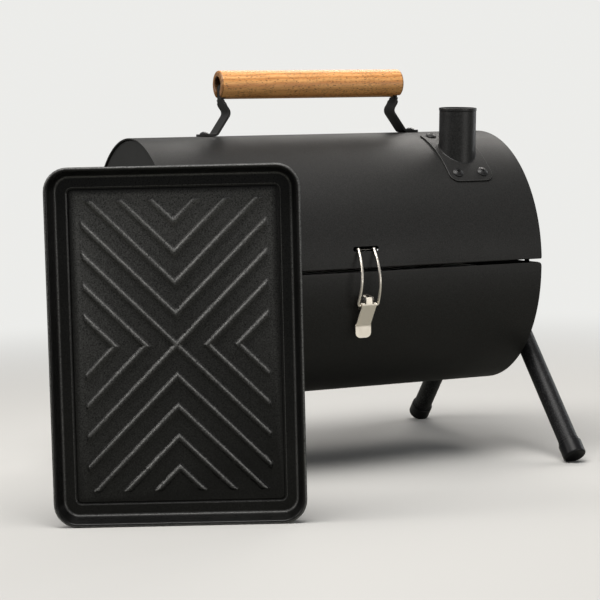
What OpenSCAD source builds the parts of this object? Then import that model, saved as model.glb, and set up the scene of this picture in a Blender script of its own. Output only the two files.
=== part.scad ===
// Portable charcoal barrel grill on four folding legs, with a hinged lid, a draw
// latch, a chimney, a carrying handle, two grates and a loose griddle plate.
// X runs along the barrel, -Y is the front with the latch, and +Z is up. The
// origin lies on the table, straight below the middle of the barrel.

/* [Barrel] */
// Outer radius of the base shell
barrel_r = 125; // [115:1:140]
// How much larger the lid's radius is than the base's
lid_over = 0.5; // [0:0.5:1.5]
// Length of both shells
barrel_len = 376; // [350:2:420]
// Height of the barrel's axis above the table
axis_z = 194; // [188:1:215]
// Thickness of the shells and end plates
sheet_t = 1.2; // [0.8:0.1:1.6]
// Gap between lid and base
seam_gap = 3.3; // [2:0.1:4]
// Width of the hem that is folded inwards along each long edge
hem_w = 8; // [5:1:12]
// Rounding of the base shell's four corners at the seam
base_corner_r = 3.5; // [1:0.5:6]
// Rounding of the lid shell's four corners at the seam
lid_corner_r = 1.5; // [1:0.5:6]
// How far the end plates are set in from the shells' ends
end_recess = 1.5; // [0.5:0.5:3]
// Width of the flange that holds an end plate in its shell
end_flange = 8; // [6:1:12]
// Outer bend radius of that flange
end_bend_r = 2.6; // [2:0.1:4]
// Width of the tabs on the base's end plates that carry the closed lid
stop_w = 8; // [6:0.5:12]
// Distance of each tab from the middle of its end plate
stop_y = 101; // [80:1:106]

/* [Hinges] */
// Distance of each hinge's middle from the end of its shell
hinge_inset = 76; // [50:1:100]
// Width of a hinge
hinge_w = 42; // [34:1:50]
// Height of a hinge leaf on its shell
hinge_leaf_h = 22; // [18:1:28]
// Thickness of the leaves
hinge_t = 1.5; // [1.2:0.1:2]
// Outer radius of the knuckles
knuckle_r = 3.4; // [3.1:0.1:3.4]
// Radius of the hinge pins
hinge_pin_r = 1.6; // [1.2:0.1:1.9]
// Distance from the lid's outer face to the pin's axis
hinge_off = 3.6; // [3.6:0.1:4.4]
// Radius of the rivets' shanks
rivet_r = 2; // [1.5:0.1:2.2]

/* [Chimney] */
// Distance of the chimney's axis from the right end of the lid
chimney_inset = 60.5; // [55:0.5:73]
// Angle of the chimney's foot forward of the lid's top
chimney_th = 33; // [27:0.5:36]
// How far the tube leans forward from the vertical
chimney_lean = 4; // [0:1:6]
// Outer diameter of the tube
chimney_d = 36; // [30:0.5:38]
// Wall of the tube
chimney_wall = 1.2; // [1:0.1:1.8]
// Height of the tube's rim above the point on the lid below its centre
chimney_rise = 42.8; // [34:0.2:60]
// Width of the saddle plate along the barrel
saddle_w = 47; // [44:0.5:56]
// Angle that the saddle plate covers on the lid
saddle_span = 39.6; // [39:0.2:44]
// Thickness of the saddle plate
saddle_t = 1.5; // [1.2:0.1:2]
// Corner radius of the saddle plate
saddle_corner_r = 9; // [4:0.5:12]
// Distance between the saddle's screws along the barrel
saddle_screw_w = 27; // [24:0.5:32]
// Angle from the saddle's middle to each pair of screws
saddle_screw_th = 14.9; // [14.8:0.1:16]

/* [Handle] */
// Diameter of the wooden grip
grip_d = 27.4; // [22:0.2:30]
// Length of the grip
grip_len = 195; // [170:1:210]
// How far the grip sits to the right of the middle
grip_x = 1.2; // [-2:0.1:2]
// Diameter of the bore along the grip
grip_bore_d = 15.8; // [13:0.2:18]
// Height of the grip's axis above the lid's top
grip_rise = 49.25; // [45:0.05:53]
// Rounding of the grip's ends
grip_round = 2; // [1:0.5:3]
// Distance from the grip's end to the strap's upright
strap_inset = 6; // [5:0.5:9]
// Width of the strap below the grip
strap_w = 20; // [16:0.5:24]
// Width of the strap's tongue inside the grip
tongue_w = 9; // [7:0.5:11]
// Thickness of the strap
strap_t = 2.2; // [2:0.1:3.2]
// How far the strap bulges inwards below the grip
strap_bulge = 4.6; // [3:0.2:9]
// How far the strap's foot stands outside its upright
strap_spread = 10; // [6:0.5:14]
// Length of the strap's foot on the lid
strap_foot = 16; // [14:0.5:24]

/* [Screws] */
// Radius of the pan heads
screw_head_r = 5.3; // [4.5:0.1:5.6]
// Height of the pan heads
screw_head_h = 2.5; // [2.2:0.1:3.6]
// Radius of the screws' shanks
screw_r = 2.5; // [2:0.1:2.8]
// Width across the nuts' flats
nut_af = 8; // [7.5:0.1:9]
// Height of the nuts
nut_h = 4; // [3:0.1:4.5]
// Clearance between a shank and its hole
hole_gap = 0.15; // [0.1:0.05:0.3]

/* [Latch] */
// Angle of the latch pin from the lid's top, forward and down
latch_th = 100.9; // [100:0.1:103]
// Height of the latch pin above the base shell
latch_pin_h = 10; // [9:0.1:11]
// Radius of the latch pin
latch_pin_r = 1.2; // [1:0.1:1.3]
// How far the latch stands to the right of the middle
latch_x = -3.1; // [-5:0.1:0]
// How far the bail's hooked end stands to the right of the middle
hook_x = -0.6; // [-2:0.1:0]
// Width of the latch bracket
bracket_w = 10.4; // [10:0.2:12]
// Height of the latch bracket
bracket_h = 14.6; // [14:0.1:16]
// How far the middle of the latch bracket sits below the latch pin
bracket_drop = 4.8; // [4.6:0.1:5.4]
// Radius of the latch rivets' shanks
latch_rivet_r = 1.6; // [1.4:0.1:1.7]
// Thickness of the latch's sheet
latch_t = 1.2; // [1:0.1:1.4]
// Width of the lever's body
lever_w = 14.6; // [14:0.1:15]
// Width of the lever's finger lip
lip_w = 15.8; // [14.6:0.1:16]
// Length of the finger lip
lip_len = 11.6; // [10:0.2:14]
// Radius of the bail's wire
wire_r = 1.2; // [1:0.05:1.3]
// Half the width between the bail's legs at the lever
bail_foot_x = 10.3; // [10:0.1:11]
// Half the width between the bail's legs at the lid
bail_top_x = 8; // [7:0.1:9]
// How far the bail bows away from the barrel
bail_bow = 8.2; // [6:0.5:10]
// Height of the lid's slot above the barrel's axis
slot_z = 19.6; // [18:0.1:21]
// How far the slot stands to the right of the middle
slot_x = -0.4; // [-1:0.1:1]
// Width of the slot
slot_w = 26.6; // [24:0.2:30]
// Height of the slot
slot_h = 4.8; // [4.6:0.1:5.4]

/* [Legs] */
// Diameter of the leg tubes
leg_d = 19.4; // [18:0.2:20.2]
// Wall of the leg tubes
leg_wall = 1.2; // [1:0.1:2]
// Angle of each leg from the vertical
leg_angle = 41; // [36:1:44]
// Distance of the leg's pivot from the barrel's axis
pivot_r = 74; // [66:1:84]
// Length of the tube above its pivot
leg_over = 13; // [11:1:16]
// Clearance between a foot cap and the barrel's end
leg_gap = 0.4; // [0.3:0.1:1]
// Diameter of the foot caps
cap_d = 22.6; // [21.5:0.1:24]
// Length of the foot caps
cap_len = 18; // [15:0.5:24]
// Thickness of the foot caps' soles
cap_sole = 4.5; // [4:0.5:6]
// Rounding of the soles' edges
cap_round = 3; // [2:0.5:3.5]
// Depth of the flat that each foot stands on
foot_flat = 0.5; // [0.3:0.1:0.8]
// Radius of the pivot bolts
bolt_r = 3; // [2.5:0.1:3.5]
// Radial clearance of the pivots and hinge pins
run_gap = 0.05; // [0.03:0.01:0.1]

/* [Grates] */
// Height of the upper rails' top below the barrel's axis
rail_drop = 16; // [14:1:22]
// Height of the lower rails' top below the barrel's axis
coal_drop = 86; // [80:1:90]
// Width of the rails
rail_w = 12; // [10:0.5:14]
// Thickness of the rails
rail_t = 1.5; // [1.2:0.1:2]
// Half the length of the upper rails
rail_half = 92; // [80:1:96]
// Half the length of the lower rails
coal_rail_half = 52; // [40:1:60]
// Radius of the cooking grate's frame rod
frame_rod_r = 2.5; // [2:0.1:3]
// Radius of the cooking grate's bars
bar_r = 1.5; // [1.2:0.1:2]
// Greatest spacing of the cooking grate's bars
bar_pitch = 12.5; // [10:0.5:16]
// Distance from each side of the cooking grate to the base shell's outer face
grate_inset = 11; // [11:1:25]
// Half the width of the charcoal grate
coal_half_w = 74; // [60:1:76]
// Greatest spacing of the charcoal grate's bars
coal_pitch = 15; // [12:0.5:20]
// Clearance at each end of a grate
grate_gap = 3; // [2:0.5:5]

/* [Griddle] */
// Width of the griddle plate over its rim
griddle_w = 210; // [200:1:220]
// Height of the griddle plate as it stands
griddle_h = 298; // [290:1:310]
// Depth of the pan
griddle_depth = 15; // [12:0.5:18]
// Thickness of the pressed sheet
griddle_t = 1.5; // [1.2:0.1:2]
// Outer corner radius
griddle_corner_r = 20; // [16:0.5:24]
// Radius of the rolled rim
rim_roll_r = 1.7; // [1.5:0.1:2]
// Distance from the outer edge to the foot of the wall
wall_run = 7.4; // [6.5:0.1:8.5]
// Distance from the outer edge to the groove round the cooking surface
groove_in = 18; // [15:0.5:20]
// Half the width of the groove, and its depth
groove_r = 1.1; // [0.8:0.1:1.2]
// Radius of the groove's corners
groove_corner_r = 4; // [3:0.5:8]
// Width of the ribs where they rise from the cooking surface
rib_w = 6.2; // [5:0.1:7]
// Height of the ribs above the cooking surface
rib_h = 2; // [1.5:0.1:2.2]
// Distance between neighbouring ribs, corner to corner
rib_pitch = 25.6; // [24:0.2:27]
// Half the width of the ribbed field
rib_field_w = 75; // [70:1:78]
// Half the height of the ribbed field
rib_field_h = 120; // [110:1:122]
// Place of the standing griddle's rim, left of the middle of the barrel
griddle_x = -234; // [-260:1:-230]
// Place of the standing griddle's rim, in front of the middle of the barrel
griddle_y = -246.5; // [-270:1:-240]
// Turn of the standing griddle away from the barrel's front
griddle_yaw = -24; // [-30:1:-10]

/* [Hidden] */

$fn = 64;
eps = 0.01;
shell_fn = 160;

powder_black = [0.13, 0.13, 0.13];
inner_black = [0.10, 0.10, 0.10];
screw_black = [0.20, 0.20, 0.21];
nickel = [0.78, 0.75, 0.70];
beech = [0.78, 0.52, 0.30];
cap_black = [0.08, 0.08, 0.08];
bare_steel = [0.55, 0.55, 0.56];
griddle_black = [0.11, 0.11, 0.11];

half_len = barrel_len / 2;
half_gap = seam_gap / 2;
lid_r = barrel_r + lid_over;
end_x = half_len - end_recess;
end_in_x = end_x - sheet_t;

// Reach of a drilled hole to each side of the face it starts from
drill = 10;

// Each half is a half cylinder about its own axis, half a gap from the middle
lid_z = axis_z + half_gap;
base_z = axis_z - half_gap;

hinge_x = half_len - hinge_inset;
hinge_y = lid_r + hinge_off;
knuckle_gap = 0.4;
outer_knuckle_w = hinge_w / 4;
leaf_start = 4.2;
rivet_z = leaf_start + hinge_leaf_h / 2 - half_gap;
rivet_head_h = 1.6;
rivet_tail = 1.4;

chimney_x = half_len - chimney_inset;
chimney_r = chimney_d / 2;
chimney_bore_r = chimney_r - chimney_wall;
saddle_in_r = lid_r + 0.1;
saddle_r = saddle_in_r + saddle_t;

grip_h = half_gap + lid_r + grip_rise;
strap_x = grip_len / 2 - strap_inset;
strap_turn_r = 4;
strap_foot_z = half_gap + lid_r + strap_t / 2;
foot_x0 = strap_x + strap_spread;
foot_x1 = foot_x0 + strap_foot;
handle_screw_x = foot_x1 - strap_foot / 2 + 1.6;
shoulder_z = grip_h - grip_d / 2 - 0.6;

pin_y = -(barrel_r + latch_pin_h) * sin(latch_th);
pin_z = (barrel_r + latch_pin_h) * cos(latch_th) - half_gap;
latch_seat = 0.6;
ear_x = 3.4;
neck_w = 6;
bail_y = pin_y + 0.7;
bail_z = pin_z - 5;
tab_x = 5.2;
lever_run = 12.6;
lever_drop = 25;
hook_y = -sqrt(pow(lid_r - sheet_t, 2) - pow(slot_z - half_gap, 2)) + wire_r + 1.2;
hook_z = slot_z - slot_h / 2 + wire_r + 0.25;
crest_y = -sqrt(pow(lid_r, 2) - pow(slot_z - half_gap, 2)) - wire_r - 0.6;
crest_z = hook_z + 0.9;

leg_r = leg_d / 2;
cap_r = cap_d / 2;
leg_x = half_len + cap_r + leg_gap;
leg_end = cap_round + (axis_z + foot_flat - cap_round
    - (cap_r - cap_round) * sin(leg_angle)) / cos(leg_angle);
bolt_head_r = 6;
bolt_head_h = 3;
bolt_tail = 2;
seat_gap = 0.3;

rail_x = end_in_x;
grate_half_w = barrel_r - grate_inset;
grate_half_l = end_in_x - grate_gap;
coal_half_l = end_in_x - nut_h - bolt_tail - 1.5;

// Helpers that place a shape on the barrel

module radial(x, th, z = axis_z) {
    translate([x, 0, z]) rotate([th, 0, 0]) children();
}

module along_x(w) {
    rotate([90, 0, 90]) linear_extrude(w, center = true) children();
}

module along_y(w) {
    rotate([90, 0, 0]) linear_extrude(w, center = true) children();
}

module round_rect(w, h, r) {
    square([w - 2 * r, h], center = true);
    square([w, h - 2 * r], center = true);
    for (x = [-1, 1], y = [-1, 1])
        translate([x * (w / 2 - r), y * (h / 2 - r)]) circle(r);
}

module barrel_tube(r_out, r_in, len, z) {
    translate([0, 0, z]) rotate([0, 90, 0]) difference() {
        cylinder(h = len, r = r_out, center = true, $fn = shell_fn);
        cylinder(h = len + 2, r = r_in, center = true, $fn = shell_fn);
    }
}

module dome(r, h) {
    ball_r = (r * r + h * h) / (2 * h);
    intersection() {
        cylinder(h = h, r = r);
        translate([0, 0, h - ball_r]) sphere(ball_r, $fn = 96);
    }
}

// Functions for strips of bent sheet and for bent wire

function unit(v) = v / norm(v);

// Points of an open path whose inner corners are rounded to the given radii
function rounded(p, radii, steps = 6) = [
    for (i = [0 : len(p) - 1])
        if (i == 0 || i == len(p) - 1) p[i]
        else let (
            u = unit(p[i] - p[i - 1]),
            v = unit(p[i + 1] - p[i]),
            turn = acos(u * v),
            r = radii[i - 1],
            start = p[i] - u * r * tan(turn / 2),
            n = unit(v - u * (u * v)),
            mid = start + n * r
        ) each [for (k = [0 : steps])
            mid - n * r * cos(turn * k / steps) + u * r * sin(turn * k / steps)]
];

function direction(p, i) = unit(p[min(i + 1, len(p) - 1)] - p[max(i - 1, 0)]);

// Outline of a strip of thickness t round a flat path
function strip(p, t) = concat(
    [for (i = [0 : len(p) - 1])
        p[i] + t / 2 * [-direction(p, i)[1], direction(p, i)[0]]],
    [for (i = [len(p) - 1 : -1 : 0])
        p[i] - t / 2 * [-direction(p, i)[1], direction(p, i)[0]]]
);

// Cross directions that turn as little as they can along a path in space
function cross_dirs(p, i = 0, last = [1, 0, 0.3]) = i == len(p) ? [] :
    let (d = direction(p, i), c = unit(last - d * (last * d)))
    concat([c], cross_dirs(p, i + 1, c));

module wire(p, r, sides = 12) {
    c = cross_dirs(p);
    n = len(p);
    points = [for (i = [0 : n - 1], k = [0 : sides - 1])
        p[i] + r * (c[i] * cos(360 * k / sides)
            + cross(direction(p, i), c[i]) * sin(360 * k / sides))];
    polyhedron(points, concat(
        [[for (k = [0 : sides - 1]) sides - 1 - k]],
        [for (i = [0 : n - 2], k = [0 : sides - 1]) [
            i * sides + k, i * sides + (k + 1) % sides,
            (i + 1) * sides + (k + 1) % sides, (i + 1) * sides + k]],
        [[for (k = [0 : sides - 1]) (n - 1) * sides + k]]
    ));
}

// Common fasteners, each with its seat at the origin and its head upwards

module screw(shank_len) {
    difference() {
        union() {
            dome(screw_head_r, screw_head_h);
            translate([0, 0, -shank_len]) cylinder(h = shank_len + eps, r = screw_r);
        }
        for (a = [0, 90]) rotate([0, 0, a])
            translate([-2.6, -0.55, screw_head_h - 1.5]) cube([5.2, 1.1, 3]);
    }
}

module nut(af, h, bore_r) {
    translate([0, 0, -h]) difference() {
        cylinder(h = h, r = af / 2 / cos(30), $fn = 6);
        translate([0, 0, -1]) cylinder(h = h + 2, r = bore_r);
    }
}

module hole(r) {
    translate([0, 0, -drill]) cylinder(h = 2 * drill, r = r);
}

module rivet(grip, r = rivet_r) {
    dome(r * 1.75, rivet_head_h);
    translate([0, 0, -grip]) cylinder(h = grip + eps, r = r);
    translate([0, 0, -grip]) mirror([0, 0, 1]) dome(r * 1.5, rivet_tail);
}

// Places of the saddle's screws, the handle's screws and the hinges' rivets

module at_saddle_screws(r) {
    for (x = [-1, 1], a = [-1, 1])
        radial(chimney_x + x * saddle_screw_w / 2,
            chimney_th + a * saddle_screw_th, lid_z)
            translate([0, 0, r]) children();
}

module at_handle_screws(z) {
    for (s = [-1, 1])
        translate([s * handle_screw_x, 0, lid_z + z]) children();
}

module at_hinge_rivets(side, r) {
    for (s = [-1, 1], x = [-1, 1])
        radial(s * hinge_x + x * hinge_w / 3.4, -90 + side * asin(rivet_z / r),
            side > 0 ? lid_z : base_z)
            translate([0, 0, r]) children();
}

module at_latch() {
    radial(latch_x, latch_th, base_z) translate([0, 0, barrel_r]) children();
}

module at_latch_rivets() {
    at_latch() for (s = [-1, 1])
        translate([0, s * (bracket_h / 2 - 3.6) - bracket_drop, 0]) children();
}

module at_leg(sx, sy) {
    radial(sx * leg_x, sy * (180 - leg_angle)) children();
}

// The chimney's own frame: its foot on the lid, and its lean
module at_chimney() {
    translate([chimney_x, -lid_r * sin(chimney_th), lid_z + lid_r * cos(chimney_th)])
        rotate([chimney_lean, 0, 0]) children();
}

module chimney_hole() {
    at_chimney() translate([0, 0, -chimney_d]) cylinder(h = 2 * chimney_d, r = chimney_bore_r);
}

// Barrel

// What is cut from a half barrel: the other half, and the corners at the seam
module half_cut(side, r, corner_r) {
    translate([-half_len - 5, -r - 5, axis_z + (side > 0 ? -r - 5 : -half_gap)])
        cube([barrel_len + 10, 2 * r + 10, r + 5 + half_gap]);
    for (s = [-1, 1])
        translate([s * (half_len - corner_r), 0, axis_z + side * (half_gap + corner_r)])
            difference() {
                translate([s > 0 ? 0 : -corner_r - 2, -r - 5, side > 0 ? -corner_r - 1 : 0])
                    cube([corner_r + 2, 2 * r + 10, corner_r + 1]);
                along_y(2 * r + 12) circle(corner_r);
            }
}

module half_shell(side, r, corner_r) {
    hem_len = barrel_len - 2 * (end_recess + end_flange + 3);
    z = side > 0 ? lid_z : base_z;
    difference() {
        union() {
            barrel_tube(r, r - sheet_t, barrel_len, z);
            intersection() {
                barrel_tube(r - sheet_t + eps, r - 2 * sheet_t, hem_len, z);
                translate([-hem_len / 2, -r, axis_z + (side > 0 ? 0 : -half_gap - hem_w)])
                    cube([hem_len, 2 * r, half_gap + hem_w]);
            }
        }
        half_cut(side, r, corner_r);
    }
}

// One end plate: a half disc with a flange turned into the barrel
module end_plate(s, side, r, corner_r) {
    in_r = r - sheet_t;
    difference() {
        translate([s * end_x, 0, side > 0 ? lid_z : base_z])
            rotate([0, -s * 90, 0]) rotate_extrude($fn = shell_fn) {
            square([in_r - end_bend_r, sheet_t]);
            translate([in_r - sheet_t, end_bend_r])
                square([sheet_t, end_flange - end_bend_r]);
            translate([in_r - end_bend_r, end_bend_r]) intersection() {
                difference() {
                    circle(end_bend_r);
                    circle(end_bend_r - sheet_t);
                }
                translate([0, -end_bend_r]) square(end_bend_r);
            }
        }
        half_cut(side, r, corner_r);
    }
}

module base_shell() {
    color(powder_black) difference() {
        half_shell(-1, barrel_r, base_corner_r);
        at_hinge_rivets(-1, barrel_r) hole(rivet_r);
        at_latch_rivets() hole(latch_rivet_r);
    }
}

module base_end(s) {
    color(powder_black) for (y = [-stop_y, stop_y])
        translate([s * (end_x - sheet_t / 2), y, axis_z - 1])
            cube([sheet_t, stop_w, 2 * (half_gap + 1)], center = true);
    color(powder_black) difference() {
        end_plate(s, -1, barrel_r, base_corner_r);
        for (sy = [-1, 1]) at_leg(s, sy) translate([0, 0, pivot_r])
            rotate([0, 90, 0]) cylinder(h = 4 * leg_d, r = bolt_r + hole_gap, center = true);
    }
}

module lid_shell() {
    color(powder_black) difference() {
        half_shell(1, lid_r, lid_corner_r);
        at_hinge_rivets(1, lid_r) hole(rivet_r);
        at_saddle_screws(lid_r) hole(screw_r + hole_gap);
        at_handle_screws(lid_r) hole(screw_r + hole_gap);
        chimney_hole();
        translate([slot_x, -lid_r, axis_z + slot_z]) along_y(24)
            round_rect(slot_w, slot_h, slot_h / 2 - eps);
    }
}

module lid_end(s) {
    color(powder_black) end_plate(s, 1, lid_r, lid_corner_r);
}

// Hinges

// side is 1 for the lid's leaf and -1 for the base's
module hinge_leaf(s, side) {
    r = side > 0 ? lid_r : barrel_r;
    mid_w = hinge_w - 2 * outer_knuckle_w;
    spans = side > 0 ? [[0, mid_w - 2 * knuckle_gap]]
        : [for (k = [-1, 1]) [k * (hinge_w - outer_knuckle_w) / 2, outer_knuckle_w]];
    color(powder_black) difference() {
        union() {
            intersection() {
                barrel_tube(r + hinge_t, r, barrel_len, side > 0 ? lid_z : base_z);
                translate([s * hinge_x, r, axis_z + side * (leaf_start + hinge_leaf_h / 2)])
                    along_y(30) round_rect(hinge_w, hinge_leaf_h, 3);
            }
            for (k = spans) translate([s * hinge_x + k[0], 0, axis_z]) {
                translate([0, hinge_y, 0]) along_x(k[1]) circle(knuckle_r);
                along_x(k[1]) polygon([
                    [r + 0.4, side * (leaf_start + 1.2)],
                    [r + 0.6, side * 2.6],
                    [hinge_y - knuckle_r * 0.7, side * knuckle_r * 0.55],
                    [hinge_y - knuckle_r * 0.1, side * knuckle_r * 0.985],
                    [r + hinge_t - 0.1, side * (leaf_start + 1.6)]
                ]);
            }
        }
        translate([s * hinge_x, hinge_y, axis_z])
            along_x(hinge_w + 10) circle(hinge_pin_r + run_gap);
        at_hinge_rivets(side, r) hole(rivet_r);
    }
}

module hinge_pin(s) {
    color(bare_steel) translate([s * hinge_x, hinge_y, axis_z]) {
        along_x(hinge_w + 2 * eps) circle(hinge_pin_r);
        for (k = [-1, 1]) translate([k * hinge_w / 2, 0, 0])
            rotate([0, k * 90, 0]) dome(hinge_pin_r * 1.6, 1.4);
    }
}

module hinge_rivets(side) {
    r = side > 0 ? lid_r : barrel_r;
    color(screw_black) at_hinge_rivets(side, r + hinge_t)
        rivet(hinge_t + sheet_t + 0.1);
}

// Chimney

module chimney_tube() {
    bead = 0.5;
    color(powder_black) difference() {
        union() {
            at_chimney() {
                translate([0, 0, -20]) cylinder(h = 20 + chimney_rise, r = chimney_r);
                translate([0, 0, chimney_rise - 2.6])
                    cylinder(h = 2.6, r = chimney_r + bead);
            }
            intersection() {
                at_chimney() translate([0, 0, -20]) cylinder(h = 50, r = chimney_r + 1.4);
                barrel_tube(saddle_r + 1.6, saddle_r - 1, barrel_len, lid_z);
            }
        }
        barrel_tube(saddle_r, 1, barrel_len + 4, lid_z);
        chimney_hole();
        at_chimney() cylinder(h = chimney_rise + 5, r = chimney_bore_r);
    }
}

module chimney_plate() {
    span = 2 * lid_r * sin(saddle_span / 2);
    color(powder_black) difference() {
        intersection() {
            barrel_tube(saddle_r, saddle_in_r, barrel_len, lid_z);
            radial(chimney_x, chimney_th, lid_z) translate([0, 0, lid_r * 0.88])
                linear_extrude(lid_r * 0.2) round_rect(saddle_w, span, saddle_corner_r);
        }
        chimney_hole();
        at_saddle_screws(lid_r) hole(screw_r + hole_gap);
    }
}

module chimney_screws() {
    color(screw_black) at_saddle_screws(saddle_r)
        screw(saddle_t + sheet_t + nut_h + 2);
}

module chimney_nuts() {
    color(bare_steel) at_saddle_screws(lid_r - sheet_t - 0.1)
        nut(nut_af, nut_h, screw_r);
}

// Handle

module handle_grip() {
    r = grip_d / 2;
    half = grip_len / 2;
    slot_in = strap_x - 1.5 * strap_t;
    color(beech) translate([0, 0, axis_z + grip_h]) difference() {
        translate([grip_x, 0, 0]) rotate([0, 90, 0]) rotate_extrude($fn = 96)
            difference() {
                translate([0, -half]) union() {
                    translate([0, grip_round]) square([r, grip_len - 2 * grip_round]);
                    square([r - grip_round, grip_len]);
                    for (y = [grip_round, grip_len - grip_round])
                        translate([r - grip_round, y]) circle(grip_round);
                }
                translate([-r, -half - 1]) square([r + grip_bore_d / 2, grip_len + 2]);
            }
        for (s = [-1, 1]) translate([s * (slot_in + 10), 0, -r / 2 - 1])
            cube([20, tongue_w + 1, r + 2], center = true);
    }
}

// One strap of flat steel that runs through the grip and down to both feet
module handle_strap() {
    low_z = strap_foot_z + 0.3 * (shoulder_z - strap_foot_z);
    bulge_z = strap_foot_z + 0.62 * (shoulder_z - strap_foot_z);
    lower = [[strap_x, shoulder_z], [strap_x, shoulder_z - 4],
        [strap_x - strap_bulge, bulge_z], [foot_x0, strap_foot_z],
        [foot_x1, strap_foot_z]];
    upper = [[0, grip_h], [strap_x, grip_h], [strap_x, shoulder_z - 2]];
    color(powder_black) translate([0, 0, axis_z]) difference() {
        union() for (s = [0, 1]) mirror([s, 0, 0]) {
            along_y(strap_w) polygon(strip(rounded(lower, [4, 6, 4]), strap_t));
            along_y(tongue_w) polygon(strip(rounded(upper, [strap_turn_r]), strap_t));
        }
        for (s = [-1, 1]) {
            translate([s * handle_screw_x, 0, strap_foot_z - strap_t])
                cylinder(h = 2 * strap_t, r = screw_r + hole_gap);
            translate([s * foot_x1, 0, strap_foot_z - strap_t]) difference() {
                translate([-5, -strap_w, 0]) cube([10, 2 * strap_w, strap_t + 3]);
                translate([-s * strap_w / 2, 0, -1]) cylinder(h = 10, r = strap_w / 2);
                translate([s > 0 ? -12 : 0, -strap_w / 2, -1])
                    cube([12 - strap_w / 2 + eps, strap_w, 10]);
            }
        }
    }
}

module handle_screws() {
    color(screw_black) at_handle_screws(lid_r + strap_t)
        screw(strap_t + sheet_t + nut_h + 2);
}

module handle_nuts() {
    color(bare_steel) at_handle_screws(lid_r - sheet_t - 0.1)
        nut(nut_af, nut_h, screw_r);
}

// Latch

module latch_bracket() {
    color(nickel) at_latch() difference() {
        union() {
            translate([0, -bracket_drop, 0]) linear_extrude(latch_t)
                round_rect(bracket_w, bracket_h, 1.5);
            for (s = [-1, 1]) translate([s * (ear_x + latch_t / 2), 0, 0])
                along_x(latch_t) {
                    translate([0, latch_pin_h]) circle(2.9);
                    polygon([[-6.5, latch_t / 2], [-2.9, latch_pin_h],
                        [2.9, latch_pin_h], [2.1, latch_t / 2]]);
                }
        }
        translate([0, 0, latch_pin_h]) along_x(20) circle(latch_pin_r);
        for (s = [-1, 1])
            translate([0, s * (bracket_h / 2 - 3.6) - bracket_drop, 0]) hole(latch_rivet_r);
    }
}

module latch_rivets() {
    color(nickel) at_latch_rivets() translate([0, 0, latch_t])
        rivet(latch_t + sheet_t + latch_seat, latch_rivet_r);
}

module latch_pin() {
    half = ear_x + latch_t + 0.1;
    color(bare_steel) translate([latch_x, pin_y, axis_z + pin_z]) {
        along_x(2 * half) circle(latch_pin_r);
        for (k = [-1, 1]) translate([k * half, 0, 0])
            rotate([0, k * 90, 0]) dome(1.9, 0.5);
    }
}

// Lever: a neck rolled round the pin, and two tabs rolled round the bail's ends
module latch_lever() {
    front = -1.7;
    side_path = rounded([[front, 0.4], [front, -5.2], [lever_run, -lever_drop],
        [lever_run, -lever_drop - lip_len]], [3, 4]);
    color(nickel) translate([latch_x, pin_y, axis_z + pin_z]) difference() {
        union() {
            intersection() {
                along_x(lip_w) polygon(strip(side_path, latch_t));
                along_y(60) {
                    translate([-neck_w / 2, -8]) square([neck_w, 10]);
                    translate([0, -(lever_drop + 3.6) / 2 - 1.2])
                        round_rect(lever_w, lever_drop - 1, 0.8);
                    translate([0, -lever_drop - lip_len / 2 - 0.2])
                        round_rect(lip_w, lip_len + 1.4, 5);
                    translate([-lip_w / 2, -lever_drop - 6]) square([lip_w, 6.5]);
                }
            }
            along_x(neck_w) circle(2.3);
            for (s = [-1, 1])
                translate([s * (tab_x + lever_w / 2) / 2, 0.7, -5])
                    along_x(lever_w / 2 - tab_x) circle(2.3);
        }
        along_x(40) circle(latch_pin_r + run_gap);
        translate([0, 0.7, -5]) along_x(40) circle(wire_r + run_gap);
    }
}

// Bail: one wire from the lever's left tab, through the slot and back
module latch_bail() {
    steps = 14;
    leg = [for (k = [0 : steps]) let (f = k / steps) [
        bail_foot_x + f * (bail_top_x - bail_foot_x),
        bail_y + f * (crest_y - bail_y) - bail_bow * (1 - pow(2 * f - 1, 2)),
        bail_z + 1.5 + f * (crest_z - 1.4 - bail_z - 1.5)
    ]];
    side = concat(
        [[tab_x, bail_y, bail_z], [bail_foot_x - 1.4, bail_y, bail_z],
            [bail_foot_x - 0.4, bail_y - 0.1, bail_z + 0.3]],
        leg,
        [[bail_top_x, crest_y + 0.9, crest_z - 0.35],
            [bail_top_x, crest_y + 2.2, crest_z],
            [bail_top_x, hook_y - 1.4, hook_z + 0.2],
            [bail_top_x - 0.4, hook_y - 0.4, hook_z],
            [bail_top_x - 1.4, hook_y, hook_z]]
    );
    half_path = concat(side, [for (i = [len(side) - 1 : -1 : 0])
        [-side[i][0], side[i][1], side[i][2]]]);
    path = [for (q = half_path) q + [(hook_x - latch_x)
        * max(0, q[2] - bail_z - 1.5) / (crest_z - bail_z - 1.5), 0, 0]];
    color(nickel) translate([latch_x, 0, axis_z]) wire(path, wire_r);
}

// Legs

module leg_tube(sx, sy) {
    start = pivot_r - leg_over;
    len = leg_end - cap_sole - start;
    color(powder_black) at_leg(sx, sy) difference() {
        translate([0, 0, start]) cylinder(h = len, r = leg_r);
        translate([0, 0, start - 1]) cylinder(h = len + 2, r = leg_r - leg_wall);
        translate([0, 0, pivot_r]) rotate([0, 90, 0])
            cylinder(h = 60, r = bolt_r + run_gap, center = true);
    }
}

module foot_cap(sx, sy) {
    color(cap_black) difference() {
        at_leg(sx, sy) difference() {
            translate([0, 0, leg_end]) mirror([0, 0, 1]) rotate_extrude() {
                translate([0, cap_round]) square([cap_r, cap_len - cap_round]);
                square([cap_r - cap_round, cap_len]);
                translate([cap_r - cap_round, cap_round]) circle(cap_round);
            }
            translate([0, 0, leg_end - cap_len - 1])
                cylinder(h = cap_len + 1 - cap_sole, r = leg_r);
        }
        translate([-300, -300, -20]) cube([600, 600, 20]);
    }
}

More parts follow.
